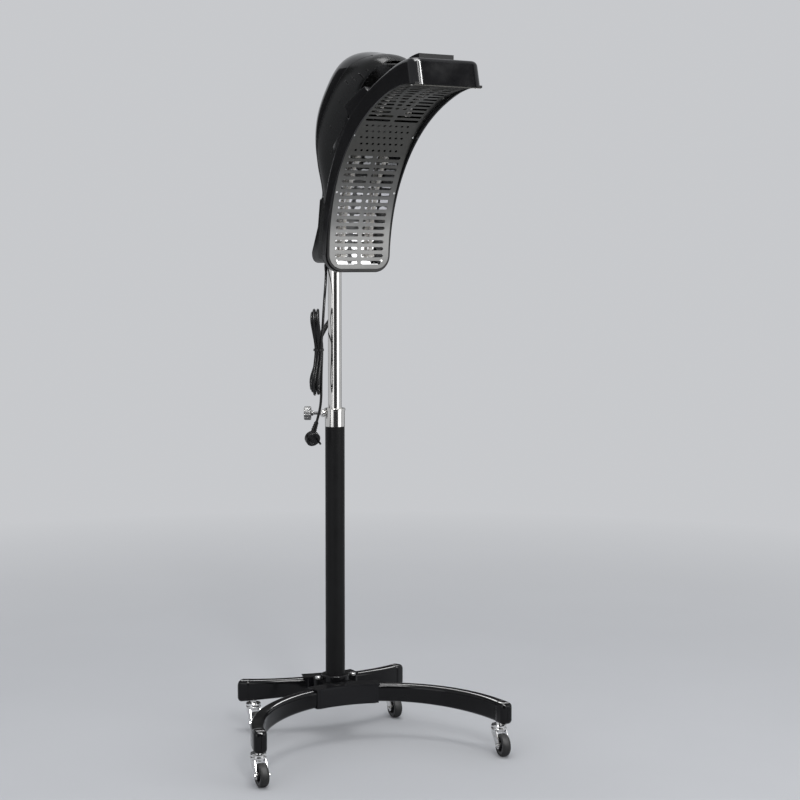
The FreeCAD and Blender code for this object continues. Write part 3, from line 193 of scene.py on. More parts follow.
HANK_TOP = 0.985
HANK_BOTTOM = 0.794
HANK_TOP_SIDE = -0.0365
HANK_BOTTOM_SIDE = -0.0354
HANK_STEP = -0.0042
TIE_SIDE = -0.0347
TIE_HEIGHT = 0.894
TIE_HALF_HEIGHT = 0.012
STRAND_PITCH = 0.0061
STRAND_SPREAD = 0.62
WIDE_FOLD = 0.024
NARROW_FOLD = 0.0195
NARROW_RISE = 0.0055
NARROW_DROP = 0.0065
# Sideways place, height, radius and lean of the fold that leads into the loose turn
LAST_FOLD = (-0.0508, 0.8045, 0.022, 0.16)
FOLD_STEPS = 4

# Mesh pieces that scene.py makes, each with its slot. dress_nodes() gives them their materials.
EXTRA = []


def linked(name, data):
    """A new object in the scene."""
    thing = bpy.data.objects.new(name, data)
    bpy.context.scene.collection.objects.link(thing)
    return thing


def camera():
    """The camera of the photograph."""
    data = bpy.data.cameras.new("camera")
    data.lens = CAMERA_LENS
    data.sensor_width = CAMERA_SENSOR
    data.shift_y = CAMERA_SHIFT
    data.clip_start, data.clip_end = CAMERA_CLIP
    eye = linked("camera", data)
    level = -TOWARDS * math.cos(CAMERA_YAW) - RIGHT * math.sin(CAMERA_YAW)
    ahead = level * math.cos(CAMERA_PITCH) - Vector((0.0, 0.0, math.sin(CAMERA_PITCH)))
    eye.location = RIGHT * CAMERA_ASIDE + TOWARDS * CAMERA_DISTANCE + Vector((0.0, 0.0, CAMERA_HEIGHT))
    eye.rotation_euler = ahead.to_track_quat("-Z", "Y").to_euler()
    bpy.context.scene.camera = eye


# ---------------------------------------------------------------- mains lead


def cord_point(side, front, height):
    """A place in the lead's coordinates, in the frame's."""
    return RIGHT * side + TOWARDS * front + Vector((0.0, 0.0, height))


def tie_place(strand):
    """Sideways and forward place of a strand in the tie: those that go down are in front."""
    pair = strand // 2
    if strand == 2 * HANK_TURNS - 1:
        place = (-0.3, -2.4)
    elif strand == 2 * HANK_TURNS:
        place = (1.2, -1.45)
    elif strand % 2 == 0:
        place = (1.0 - 0.5 * pair, 0.5 + (pair + 1) % 2)
    else:
        place = (0.75 - 0.5 * pair, -0.5 - pair % 2)
    return TIE_SIDE + place[0] * STRAND_PITCH, HANK_FRONT + place[1] * STRAND_PITCH


def fold(side, height, radius, lean, rise):
    """Control points of a half turn in a plane that leans a little. rise is 1 at the top, -1 at the bottom."""
    outer = radius / math.cos(math.pi / (2.0 * FOLD_STEPS))
    points = []
    for step in range(FOLD_STEPS + 1):
        angle = math.pi * step / FOLD_STEPS
        along = -rise * outer * math.cos(angle)
        up = rise * (outer * math.sin(angle) - radius)
        points.append((side + lean * along, HANK_FRONT + along, height + up))
    return points


def through_tie(strand, before, after):
    """Points of a strand between two folds: it draws in to the tie and spreads again."""
    side, front = tie_place(strand)
    sign = 1.0 if before is None or before[2] > TIE_HEIGHT else -1.0
    near = (side, front, TIE_HEIGHT + sign * TIE_HALF_HEIGHT)
    far = (side, front, TIE_HEIGHT - sign * TIE_HALF_HEIGHT)
    points = [near, far]
    if before is not None:
        points.insert(0, tuple(n + STRAND_SPREAD * (b - n) for n, b in zip(near, before)))
    if after is not None:
        points.append(tuple(f + STRAND_SPREAD * (a - f) for f, a in zip(far, after)))
    return points


def lower_fold(turn):
    """A fold at the foot of the hank. The sines make the folds uneven, as wound by hand."""
    if turn == HANK_TURNS - 1:
        return fold(*LAST_FOLD, -1.0)
    wide = turn % 2 == 0
    height = HANK_BOTTOM + (0.0 if wide else NARROW_RISE) + 0.002 * math.sin(2.1 * turn)
    return fold(HANK_BOTTOM_SIDE + HANK_STEP * turn, height, WIDE_FOLD if wide else NARROW_FOLD,
                0.05 * math.sin(1.7 * turn), -1.0)


def upper_fold(turn):
    """A fold at the top of the hank."""
    wide = turn % 2 == 0
    height = HANK_TOP - (0.0 if wide else NARROW_DROP)
    return fold(HANK_TOP_SIDE + HANK_STEP * turn, height, WIDE_FOLD if wide else NARROW_FOLD,
                0.04 * math.sin(1.3 * turn + 0.6), 1.0)


def cord_route():
    """The whole lead, from the gland through the hank and the loose turn to the plug."""
    points = list(UPPER_ROUTE)
    before = None
    for turn in range(HANK_TURNS):
        bottom = lower_fold(turn)
        top = upper_fold(turn) if turn < HANK_TURNS - 1 else LOOSE_TURN
        points += through_tie(2 * turn, before, bottom[0]) + bottom
        points += through_tie(2 * turn + 1, bottom[-1], None if top is LOOSE_TURN else top[0]) + top
        before = top[-1]
    points += through_tie(2 * HANK_TURNS, None, None) + LOWER_ROUTE
    return [cord_point(*point) for point in points]


def round_curve(name, route, radius, steps, roundness):
    """A round curve object that runs smoothly near the points of a route."""
    data = bpy.data.curves.new(name, "CURVE")
    data.dimensions = "3D"
    spline = data.splines.new("NURBS")
    spline.points.add(len(route) - 1)
    for point, place in zip(spline.points, route):
        point.co = (*place, 1.0)
    spline.order_u = 3
    spline.use_endpoint_u = True
    data.resolution_u = steps
    data.bevel_depth = radius
    data.bevel_resolution = roundness
    data.use_fill_caps = True
    return linked(name, data)


def mains_lead():
    """The lead as one piece. It takes the place of the CAD's straight runs and of its bundle.
    """
    lead = round_curve("mains_lead", cord_route(), CORD_DIAMETER / 2.0, CORD_STEPS, CORD_ROUNDNESS)
    lead.data.materials.append(cord_rubber())
    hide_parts("power_cord", "cord_hank")
    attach(lead, "mast")


# ---------------------------------------------------------------- forms on the base, the housing and the arc


def add_piece(name, mesh, body, slot):
    """A smooth mesh as a piece on a body, with the finish of a slot."""
    mesh.polygons.foreach_set("use_smooth", [True] * len(mesh.polygons))
    piece = linked(name, mesh)
    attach(piece, body)
    EXTRA.append((piece, slot))
    return piece


def mesh_piece(name, body, slot, shape):
    """A piece made from a bmesh."""
    bmesh.ops.remove_doubles(shape, verts=shape.verts, dist=1e-7)
    bmesh.ops.recalc_face_normals(shape, faces=shape.faces)
    mesh = bpy.data.meshes.new(name)
    shape.to_mesh(mesh)
    shape.free()
    return add_piece(name, mesh, body, slot)


def bead(name, body, slot, path, radius):
    """A thin round bead."""
    curve = round_curve(name, path, radius, BEAD_STEPS, BEAD_ROUNDNESS)
    data = curve.data
    mesh = bpy.data.meshes.new_from_object(curve.evaluated_get(bpy.context.evaluated_depsgraph_get()))
    bpy.data.objects.remove(curve)
    bpy.data.curves.remove(data)
    mesh.name = name
    add_piece(name, mesh, body, slot)


def skin(shape, rings):
    """Closed skin through rings of as many points each."""
    made = [[shape.verts.new(point) for point in ring] for ring in rings]
    count = len(made[0])
    for first, second in zip(made, made[1:]):
        for i in range(count):
            j = (i + 1) % count
            shape.faces.new((first[i], first[j], second[j], second[i]))
    shape.faces.new(made[0][::-1])
    shape.faces.new(made[-1])


def round_box(width, low, high, radius):
    """Points (aside, up) of an upright rectangle with rounded corners."""
    points = []
    for side, up, start in ((1, 1, 0), (-1, 1, 90), (-1, -1, 180), (1, -1, 270)):
        centre_aside = side * (width / 2.0 - radius)
        centre_up = (high - radius) if up > 0 else (low + radius)
        for step in range(CORNER_STEPS + 1):
            angle = math.radians(start + 90.0 * step / CORNER_STEPS)
            points.append((centre_aside + radius * math.cos(angle), centre_up + radius * math.sin(angle)))
    return points


def end_stations():
    """Distance past the start of a beam's end, and how far its section draws in there."""
    stations = [(END_START, 0.0), (END_START + END_FLAT, 0.0), (END_REACH - END_ROUND, 0.0)]
    for degrees in END_ROUND_ANGLES:
        angle = math.radians(degrees)
        inset = END_ROUND * (1.0 - math.cos(angle))
        stations.append((END_REACH - END_ROUND * (1.0 - math.sin(angle)), inset))
    return stations


def beam_ends():
    """The moulded ends of the beams, past the casters: rounder and longer than the solids' ends."""
    turn = Matrix.Rotation(BASE_TURN, 3, "Z")
    for name, stem, radius, middle in BEAMS:
        forward = -1.0 if stem[1] < middle else 1.0
        stem_angle = math.acos((middle + forward * radius - stem[1]) * forward / radius)
        for side, label in SIDES:
            rings = []
            for along, inset in end_stations():
                angle = stem_angle + along / radius
                share = (radius * math.sin(angle) / stem[0]) ** 2
                low = BEAM_LOW[0] + (BEAM_LOW[1] - BEAM_LOW[0]) * share - END_PROUD + inset
                high = BEAM_HIGH[0] + (BEAM_HIGH[1] - BEAM_HIGH[0]) * share + END_PROUD - inset
                corner = max(BEAM_CORNER - 0.25 * inset, END_CORNER)
                ring = []
                for aside, up in round_box(BEAM_WIDTH + 2.0 * (END_PROUD - inset), low, high, corner):
                    reach = radius + aside
                    ring.append(turn @ Vector((side * reach * math.sin(angle),
                                               middle + forward * (radius - reach * math.cos(angle)), up)))
                rings.append(ring)
            shape = bmesh.new()
            skin(shape, rings)
            mesh_piece("%s_beam_end_%s" % (name, label), "base", "beam_paint", shape)


def shell_edge(node, side, radius, near, step, angles=WHOLE_TURN, flat=False):
    """An edge of a packed shell on one side, from its foot up: the outermost point in each step of angle.

    The edge is a distance from the head's centre, measured in the plane of the arc if flat is set.
    """
    found = {}
    for vertex in frame["nodes"][node].data.vertices:
        x, y, z = vertex.co
        out = Vector((0.0 if flat else x, y - HEAD_CENTRE[0], z - HEAD_CENTRE[1]))
        angle = math.degrees(math.atan2(out.z, -out.y))
        if abs(out.length - radius) < near and x * side > 0.0 and angles[0] < angle < angles[1]:
            key = round(angle / step)
            if key not in found or abs(x) > abs(found[key].x):
                found[key] = vertex.co.copy()
    return [found[key] for key in sorted(found, reverse=True)]


def housing_beads():
    """Thin beads along the seam between the halves of the housing, and along the edge of its bowl."""
    for side, label in SIDES:
        seam = shell_edge("rear_shell", side, SEAM_RADIUS, SEAM_NEAR, SEAM_STEP, flat=True)
        seam = [point for point in seam if point.z > SEAM_BOTTOM]
        if len(seam) >= EDGE_POINTS:
            bead("seam_bead_" + label, "housing", "shell_plastic", seam, SEAM_BEAD)
        rim = shell_edge("front_shell", side, BOWL_RADIUS, RIM_NEAR, RIM_STEP, RIM_ANGLES)
        if len(rim) >= EDGE_POINTS:
            bead("bowl_rim_" + label, "housing", "shell_plastic", rim, RIM_BEAD)


def vents():
    """Short vent slots across the housing's shoulder, each with a raised lip, on both sides."""
    for side, label in SIDES:
        for kind, rows, radius, sink, slot in VENT_KINDS:
            for number, row in enumerate(rows):
                path = []
                for x, y, z in row:
                    inward = Vector((-x, HEAD_CENTRE[0] - y, HEAD_CENTRE[1] - z)).normalized()
                    inward = (inward + VENT_INTO).normalized()
                    place = Vector((x, y, z)) + inward * sink
                    path.append(Vector((-side * place.x, place.y, place.z)))
                bead("vent_%s_%s_%d" % (kind, label, number + 1), "housing", slot, path, radius)


def shell_screws():
    """Sunk screw seats on the flanks of the housing's front half."""
    for side, label in SIDES:
        for number, (place, normal) in enumerate(SHELL_SCREWS):
            axis = Vector((-side * normal[0], normal[1], normal[2])).normalized()
            centre = Vector((-side * place[0], place[1], place[2]))
            across = axis.cross(Vector((0.0, 0.0, 1.0))).normalized()
            along = axis.cross(across)
            rings = []
            for radius, height in SCREW_PROFILE:
                ring = []
                for step in range(SCREW_STEPS):
                    turn = math.radians(360.0 * step / SCREW_STEPS)
                    ring.append(centre + axis * height
                                + (across * math.cos(turn) + along * math.sin(turn)) * radius)
                rings.append(ring)
            shape = bmesh.new()
            skin(shape, rings)
            mesh_piece("shell_screw_%s_%d" % (label, number + 1), "housing", "frame_plastic", shape)


def cheeks():
    """The faceted sides of the drive's cover on the back of the arc. They turn with it, clear of the bowl."""
    for side, label in SIDES:
        for number, outline in enumerate(CHEEKS):
            rings = []
            for x in (CHEEK_OUTER, CHEEK_INNER):
                rings.append([(side * x, HEAD_CENTRE[0] - radius * math.cos(math.radians(angle)),
                               HEAD_CENTRE[1] + radius * math.sin(math.radians(angle)))
                              for angle, radius in outline])
            shape = bmesh.new()
            skin(shape, rings)
            bmesh.ops.recalc_face_normals(shape, faces=shape.faces)
            bmesh.ops.bevel(shape, geom=list(shape.edges), offset=CHEEK_BEVEL, segments=3, affect="EDGES",
                            profile=0.5)
            piece = mesh_piece("drive_cheek_%s_%d" % (label, number + 1), "arc", "head_plastic", shape)
            piece.data.set_sharp_from_angle(angle=CHEEK_SHARP)


def mark(shape, x, along, turn, length, width):
    """A raised bar on the control panel. turn is its direction, clockwise from straight up."""
    middle = PANEL_ORIGIN + Vector((x, 0.0, 0.0)) + PANEL_UP * along + PANEL_OUT * PANEL_FACE
    direction = Vector((1.0, 0.0, 0.0)) * math.sin(turn) + PANEL_UP * math.cos(turn)
    beside = direction.cross(PANEL_OUT)
    rings = []
    for height, shrink in MARK_PROFILE:
        ahead = direction * (length / 2.0 * shrink)
        aside = beside * (width / 2.0 * shrink)
        rings.append([middle + PANEL_OUT * height + ahead * a + aside * b
                      for a, b in ((-1, -1), (1, -1), (1, 1), (-1, 1))])
    skin(shape, rings)


def panel_marks():
    """Raised marks on the control panel: the dials' scales, and the line and ring of the rocker."""
    shape = bmesh.new()
    for x, along, radius, count, sweep in DIALS:
        for step in range(count):
            turn = math.radians(sweep * step / (count - 1))
            length = DIAL_MARK_LONG if step % 3 == 0 else DIAL_MARK_SHORT
            mark(shape, x + radius * math.sin(turn), along + radius * math.cos(turn), turn, length,
                 MARK_WIDTH)
    along, length, width = ROCKER_LINE
    mark(shape, ROCKER_ASIDE, along, 0.0, length, width)
    along, radius, length = ROCKER_RING
    for step in range(ROCKER_RING_MARKS):
        turn = math.radians(360.0 * step / ROCKER_RING_MARKS)
        mark(shape, ROCKER_ASIDE + radius * math.sin(turn), along + radius * math.cos(turn),
             turn + math.pi / 2.0, length, MARK_WIDTH)
    mesh_piece("panel_marks", "housing", "nylon", shape)


# ---------------------------------------------------------------- material parts


def new_material(name, colour, roughness, metallic=0.0):
    material = bpy.data.materials.new(name)
    material.use_nodes = True
    tree = material.node_tree
    shader = tree.nodes["Principled BSDF"]
    shader.inputs["Base Color"].default_value = (*colour, 1.0)
    shader.inputs["Roughness"].default_value = roughness
    shader.inputs["Metallic"].default_value = metallic
    return material, tree, shader


def grey(level):
    return (level, level, level)


def space(tree, scale=(1.0, 1.0, 1.0)):
    """Places on the object in metres, stretched for grain that runs one way."""
    where = tree.nodes.new("ShaderNodeTexCoord")
    mapping = tree.nodes.new("ShaderNodeMapping")
    mapping.inputs["Scale"].default_value = scale
    tree.links.new(where.outputs["Object"], mapping.inputs["Vector"])
    return mapping.outputs["Vector"]


def height_above_floor(tree):
    split = tree.nodes.new("ShaderNodeSeparateXYZ")
    tree.links.new(space(tree), split.inputs["Vector"])
    return split.outputs["Z"]


def noise(tree, vector, scale, detail=3.0):
    node = tree.nodes.new("ShaderNodeTexNoise")
    node.inputs["Scale"].default_value = scale
    node.inputs["Detail"].default_value = detail
    tree.links.new(vector, node.inputs["Vector"])
    return node.outputs["Fac"]


def spread(tree, factor, low, high, start=0.3, end=0.7):
    """The factor stretched from start..end to low..high."""
    node = tree.nodes.new("ShaderNodeMapRange")
    for name, value in (("From Min", start), ("From Max", end), ("To Min", low), ("To Max", high)):
        node.inputs[name].default_value = value
    tree.links.new(factor, node.inputs["Value"])
    return node.outputs["Result"]


def blend_colours(tree, factor, first, second):
    """first where the factor is 0 and second where it is 1. Each is a colour or a socket."""
    node = tree.nodes.new("ShaderNodeMix")
    node.data_type = "RGBA"
    tree.links.new(factor, node.inputs["Factor"])
    for socket, colour in ((node.inputs[6], first), (node.inputs[7], second)):
        if isinstance(colour, tuple):
            socket.default_value = (*colour, 1.0)
        else:
            tree.links.new(colour, socket)
    return node.outputs[2]


def overlay(tree, shader, factor, colour):
    """Lays one more colour over what already feeds the base colour."""
    under = shader.inputs["Base Color"].links[0].from_socket
    tree.links.new(blend_colours(tree, factor, under, colour), shader.inputs["Base Color"])


def bump(tree, shader, height, distance, strength=1.0, under=None):
    """A bump, on top of another one where under is its normal."""
    node = tree.nodes.new("ShaderNodeBump")
    node.inputs["Distance"].default_value = distance
    node.inputs["Strength"].default_value = strength
    tree.links.new(height, node.inputs["Height"])
    if under is not None:
        tree.links.new(under, node.inputs["Normal"])
    tree.links.new(node.outputs["Normal"], shader.inputs["Normal"])


def facing_up(tree):
    """1 on surfaces that look up, 0 on the rest: where dust settles."""
    geometry = tree.nodes.new("ShaderNodeNewGeometry")
    split = tree.nodes.new("ShaderNodeSeparateXYZ")
    tree.links.new(geometry.outputs["Normal"], split.inputs["Vector"])
    return spread(tree, split.outputs["Z"], 0.0, 1.0, 0.55, 1.0)


def multiply(tree, first, second):
    node = tree.nodes.new("ShaderNodeMath")
    node.operation = "MULTIPLY"
    tree.links.new(first, node.inputs[0])
    tree.links.new(second, node.inputs[1])
    return node.outputs["Value"]


def edge_wear(tree, radius):
    """1 on worn edges, 0 on flat faces."""
    rounded = tree.nodes.new("ShaderNodeBevel")
    rounded.inputs["Radius"].default_value = radius
    rounded.samples = 4
    flat = tree.nodes.new("ShaderNodeNewGeometry")
    dot = tree.nodes.new("ShaderNodeVectorMath")
    dot.operation = "DOT_PRODUCT"
    tree.links.new(rounded.outputs["Normal"], dot.inputs[0])
    tree.links.new(flat.outputs["Normal"], dot.inputs[1])
    return spread(tree, dot.outputs["Value"], 1.0, 0.0, 0.86, 0.97)


def brightened(colour, light):
    return tuple(min(1.0, channel * light) for channel in colour)


def dressed(name, colour, roughness, metallic=0.0, light=1.35, dust=0.0, wear=0.0, wear_radius=0.0012,
            wear_colour=(0.1, 0.1, 0.1), grain=900.0, grain_depth=0.00002, patch=7.0, specular=0.5):
    """A surface with slow colour change, uneven gloss, fine grain, dust on its upper side and worn edges."""
    material, tree, shader = new_material(name, colour, roughness[0], metallic)
    shader.inputs["Specular IOR Level"].default_value = specular
    vector = space(tree)
    patches = spread(tree, noise(tree, vector, patch, 4.0), 0.0, 1.0)
    result = blend_colours(tree, patches, colour, brightened(colour, light))
    if wear:
        scuffs = spread(tree, noise(tree, vector, 160.0, 5.0), 0.0, wear, 0.42, 0.62)
        result = blend_colours(tree, multiply(tree, edge_wear(tree, wear_radius), scuffs), result, wear_colour)
    if dust:
        fluff = spread(tree, noise(tree, vector, 60.0, 6.0), 0.2 * dust, dust)
        result = blend_colours(tree, multiply(tree, facing_up(tree), fluff), result, (0.22, 0.21, 0.20))
    tree.links.new(result, shader.inputs["Base Color"])
    gloss = spread(tree, noise(tree, vector, 28.0, 5.0), roughness[0], roughness[1])
    tree.links.new(gloss, shader.inputs["Roughness"])
    bump(tree, shader, noise(tree, vector, grain, 2.0), grain_depth)
    return material, tree, shader


def brushed(name, colour, roughness, scale, depth=0.00001, light=1.12):
    """Metal with fine lines that run square to the longest axis of scale."""
    material, tree, shader = new_material(name, colour, roughness[0], 1.0)
    lines = noise(tree, space(tree, scale), 1.0, 4.0)
    smears = noise(tree, space(tree), 14.0, 4.0)
    patches = spread(tree, smears, 0.0, 1.0)
    tree.links.new(blend_colours(tree, patches, colour, brightened(colour, light)), shader.inputs["Base Color"])
    tree.links.new(spread(tree, smears, roughness[0], roughness[1]), shader.inputs["Roughness"])
    bump(tree, shader, lines, depth)
    return material, tree, shader


# ---------------------------------------------------------------- materials

# Slots that dressed() makes by itself: colour, roughness from and to, and what differs from its defaults.
DRESSED = {
    # Gloss black enamel of the two curved beams
    "beam_paint": ((0.0045, 0.0045, 0.0050), (0.07, 0.15), dict(
        dust=0.02, wear=0.35, wear_colour=grey(0.05), grain=420.0, grain_depth=0.00003, specular=0.22)),
    # Black enamel on a casting: a little rougher, with the casting's waviness under the gloss
    "hub_paint": ((0.0050, 0.0050, 0.0055), (0.12, 0.24), dict(
        dust=0.04, wear=0.5, wear_colour=grey(0.05), grain=260.0, grain_depth=0.00006, specular=0.22)),
    "sleeve_plastic": ((0.0050, 0.0050, 0.0060), (0.07, 0.14), dict(
        dust=0.03, wear=0.25, wear_colour=grey(0.06), grain=1500.0, specular=0.26)),
    # Powder-coated tube
    "black_tube": ((0.0065, 0.0065, 0.0068), (0.34, 0.46), dict(
        wear=0.4, grain=1300.0, grain_depth=0.00003, specular=0.12)),
    # Satin zinc of the clamp knob: blasted, with bright rubbed flutes
    "knob_satin": (grey(0.17), (0.30, 0.45), dict(
        metallic=0.9, light=1.25, wear=0.9, wear_radius=0.0016, wear_colour=(0.50, 0.50, 0.48), grain=1900.0,
        grain_depth=0.00005)),
    "wheel_plastic": ((0.010, 0.010, 0.011), (0.30, 0.45), dict(
        dust=0.12, wear=0.6, wear_colour=grey(0.08), grain=1400.0, grain_depth=0.00004, specular=0.4)),
    # Rubber that has picked up grey floor dust where it rolls
    "tyre_rubber": (grey(0.010), (0.5, 0.7), dict(
        dust=0.2, wear=0.7, wear_radius=0.003, wear_colour=(0.06, 0.058, 0.055), grain=700.0,
        grain_depth=0.00010, specular=0.35)),
    # Polished ABS of the rear half, with a soft flow pattern in the gloss
    "shell_plastic": ((0.0055, 0.0055, 0.0060), (0.08, 0.16), dict(
        dust=0.02, wear=0.25, wear_colour=grey(0.06), grain=110.0, specular=0.28)),
    # The front half's inner face is textured, so it looks darker and duller than the rear one
    "front_plastic": ((0.0060, 0.0062, 0.0062), (0.20, 0.32), dict(
        dust=0.03, wear=0.5, wear_colour=grey(0.08), grain=1700.0, grain_depth=0.00005, specular=0.28)),
    "head_plastic": ((0.0065, 0.0065, 0.0072), (0.10, 0.20), dict(
        dust=0.025, wear=0.4, wear_colour=grey(0.08), grain=1500.0, specular=0.32)),
    "frame_plastic": (grey(0.0060), (0.42, 0.6), dict(grain=1600.0, grain_depth=0.00005, specular=0.3)),
    "panel_plastic": ((0.035, 0.035, 0.038), (0.38, 0.5), dict(
        dust=0.1, wear=0.5, wear_colour=grey(0.2), grain=2000.0, grain_depth=0.00005)),
    "knob_plastic": ((0.015, 0.015, 0.016), (0.30, 0.46), dict(
        light=1.6, wear=0.9, wear_radius=0.0008, wear_colour=grey(0.15), grain=2300.0, grain_depth=0.00005)),
    "ceramic": ((0.72, 0.70, 0.65), (0.5, 0.7), dict(light=1.08, grain=1500.0, grain_depth=0.00008)),
}

# Slots that brushed() makes by itself: colour, roughness from and to, stretch, depth of the lines.
BRUSHED = {
    # Chrome plate, with faint smears and fine lines round the tube
    "chrome": ((0.66, 0.65, 0.63), (0.09, 0.16), (30.0, 30.0, 1600.0), 0.000004),
    "bolt_steel": (grey(0.50), (0.22, 0.4), (500.0, 500.0, 500.0), 0.00002),
    "bearing_steel": ((0.55, 0.55, 0.54), (0.16, 0.3), (1200.0, 1200.0, 1200.0), 0.000008),
    "motor_steel": ((0.44, 0.44, 0.43), (0.26, 0.4), (200.0, 1500.0, 1500.0), 0.00001),
    "screw_steel": ((0.72, 0.72, 0.70), (0.12, 0.28), (1500.0, 1500.0, 1500.0), 0.00001),
}


def nylon():
    material, _, shader = dressed("nylon", (0.62, 0.61, 0.57), (0.38, 0.55), light=1.1, grain=1200.0)
    shader.inputs["Subsurface Weight"].default_value = 0.15
    shader.inputs["Subsurface Radius"].default_value = (0.002, 0.002, 0.002)
    return material


def rocker_plastic():
    """Red plastic that lets a little light through."""
    material, _, shader = dressed("rocker_plastic", (0.42, 0.014, 0.012), (0.16, 0.3), light=1.2, wear=0.4,
                                  wear_colour=(0.6, 0.2, 0.18), grain=1800.0)
    shader.inputs["Transmission Weight"].default_value = 0.15
    return material


def caster_chrome():
    """Chrome of the casters, with dirt in patches."""
    material, tree, shader = brushed("caster_chrome", grey(0.72), (0.08, 0.24), (400.0, 400.0, 400.0))
    dirt = spread(tree, noise(tree, space(tree), 180.0, 6.0), 0.0, 0.75, 0.52, 0.66)
    overlay(tree, shader, dirt, (0.26, 0.24, 0.21))
    return material


def cord_rubber():
    """Black PVC of the lead: semi-matt, with fine pores and lint."""
    material, tree, shader = dressed("cord_rubber", (0.0040, 0.0040, 0.0042), (0.20, 0.30), light=1.6,
                                     grain=2200.0, patch=40.0, specular=0.30)
    lint = spread(tree, noise(tree, space(tree), 900.0, 6.0), 0.0, 0.3, 0.66, 0.74)
    overlay(tree, shader, lint, (0.10, 0.10, 0.095))
    return material


def gear_plastic():
    """Milky acetal with a trace of grease between the teeth."""
    material, tree, shader = dressed("gear_plastic", (0.70, 0.69, 0.64), (0.3, 0.45), light=1.1, grain=1100.0)
    grease = spread(tree, noise(tree, space(tree), 90.0, 4.0), 0.0, 0.5, 0.55, 0.7)
    overlay(tree, shader, grease, (0.42, 0.34, 0.2))
    return material


def board():
    """Green solder mask over copper tracks."""
    material, tree, shader = new_material("board", (0.02, 0.12, 0.045), 0.32)
    tracks = tree.nodes.new("ShaderNodeTexBrick")
    tracks.inputs["Scale"].default_value = 160.0
    tracks.inputs["Color1"].default_value = (0.018, 0.11, 0.04, 1.0)
    tracks.inputs["Color2"].default_value = (0.022, 0.14, 0.05, 1.0)
    tracks.inputs["Mortar"].default_value = (0.07, 0.24, 0.09, 1.0)
    tracks.inputs["Mortar Size"].default_value = 0.03
    tree.links.new(space(tree), tracks.inputs["Vector"])
    tree.links.new(tracks.outputs["Color"], shader.inputs["Base Color"])
    bump(tree, shader, tracks.outputs["Fac"], 0.00004)
    return material


def bracket_steel():
    """Zinc plate with its blotchy grain."""
    material, tree, shader = brushed("bracket_steel", (0.46, 0.47, 0.47), (0.28, 0.42), (260.0, 900.0, 260.0),
                                     light=1.3)
    cells = tree.nodes.new("ShaderNodeTexVoronoi")
    cells.inputs["Scale"].default_value = 150.0
    tree.links.new(space(tree), cells.inputs["Vector"])
    overlay(tree, shader, spread(tree, cells.outputs["Distance"], 0.0, 0.35, 0.1, 0.8), (0.62, 0.63, 0.64))
    return material


def grille_metal():
    """Anodised sheet: satin, brushed across, with painted shade that darkens it at its foot and towards the top
    of the arc.
    """
    material, tree, shader = brushed("grille_metal", (0.24, 0.24, 0.235), (0.28, 0.40), (2200.0, 60.0, 60.0),
                                     0.000012, light=1.2)
    height = height_above_floor(tree)
    # Painted shade: the sheet's foot is darkened by height.
    overlay(tree, shader, spread(tree, height, 0.75, 0.0, 1.075, 1.16), grey(0.075))
    # Painted shade: darker, olive grey towards the top of the arc.
    overlay(tree, shader, spread(tree, height, 0.0, 0.9, 1.17, 1.33), (0.085, 0.083, 0.075))
    return material


def reflector_metal():
    """Polished aluminium, dented a little by the press, with painted shade that darkens it towards the top of
    the arc.
    """
    material, tree, shader = brushed("reflector_metal", (0.86, 0.86, 0.87), (0.04, 0.14), (60.0, 60.0, 900.0),
                                     0.000006)
    lines = shader.inputs["Normal"].links[0].from_socket
    bump(tree, shader, noise(tree, space(tree), 45.0, 2.0), 0.0012, 0.5, under=lines)
    # Painted shade: darker towards the top of the arc.
    overlay(tree, shader, spread(tree, height_above_floor(tree), 0.0, 1.0, 1.24, 1.36), (0.11, 0.11, 0.10))
    return material


def quartz():
    """Frosted quartz tube with its winding showing through as fine rings."""
    material, tree, shader = dressed("quartz", (0.80, 0.79, 0.76), (0.2, 0.34), light=1.06, grain=800.0)
    rings = noise(tree, space(tree, (20.0, 700.0, 700.0)), 1.0, 1.0)
    overlay(tree, shader, spread(tree, rings, 0.0, 0.55, 0.45, 0.6), (0.45, 0.36, 0.28))
    shader.inputs["Coat Weight"].default_value = 0.8
    shader.inputs["Coat Roughness"].default_value = 0.08
    return material


SPECIAL = {maker.__name__: maker for maker in (
    nylon, rocker_plastic, caster_chrome, cord_rubber, gear_plastic, board, bracket_steel, grille_metal,
    reflector_metal, quartz)}


def make_material(slot):
    """The material of a slot in the record."""
    if slot in DRESSED:
        colour, roughness, options = DRESSED[slot]
        return dressed(slot, colour, roughness, **options)[0]
    if slot in BRUSHED:
        return brushed(slot, *BRUSHED[slot])[0]
    return SPECIAL[slot]()


def dress_nodes():
    """Gives each CAD node, and each piece made here, the material of its slot."""
    made = {}
    for part in frame["record"]["subparts"]:
        slot = part["material_slot"]
        if slot not in made:
            made[slot] = make_material(slot)
        slots = frame["nodes"][part["node"]].data.materials
        slots.clear()
        slots.append(made[slot])
    for piece, slot in EXTRA:
        piece.data.materials.append(made[slot])


# ---------------------------------------------------------------- floor and light


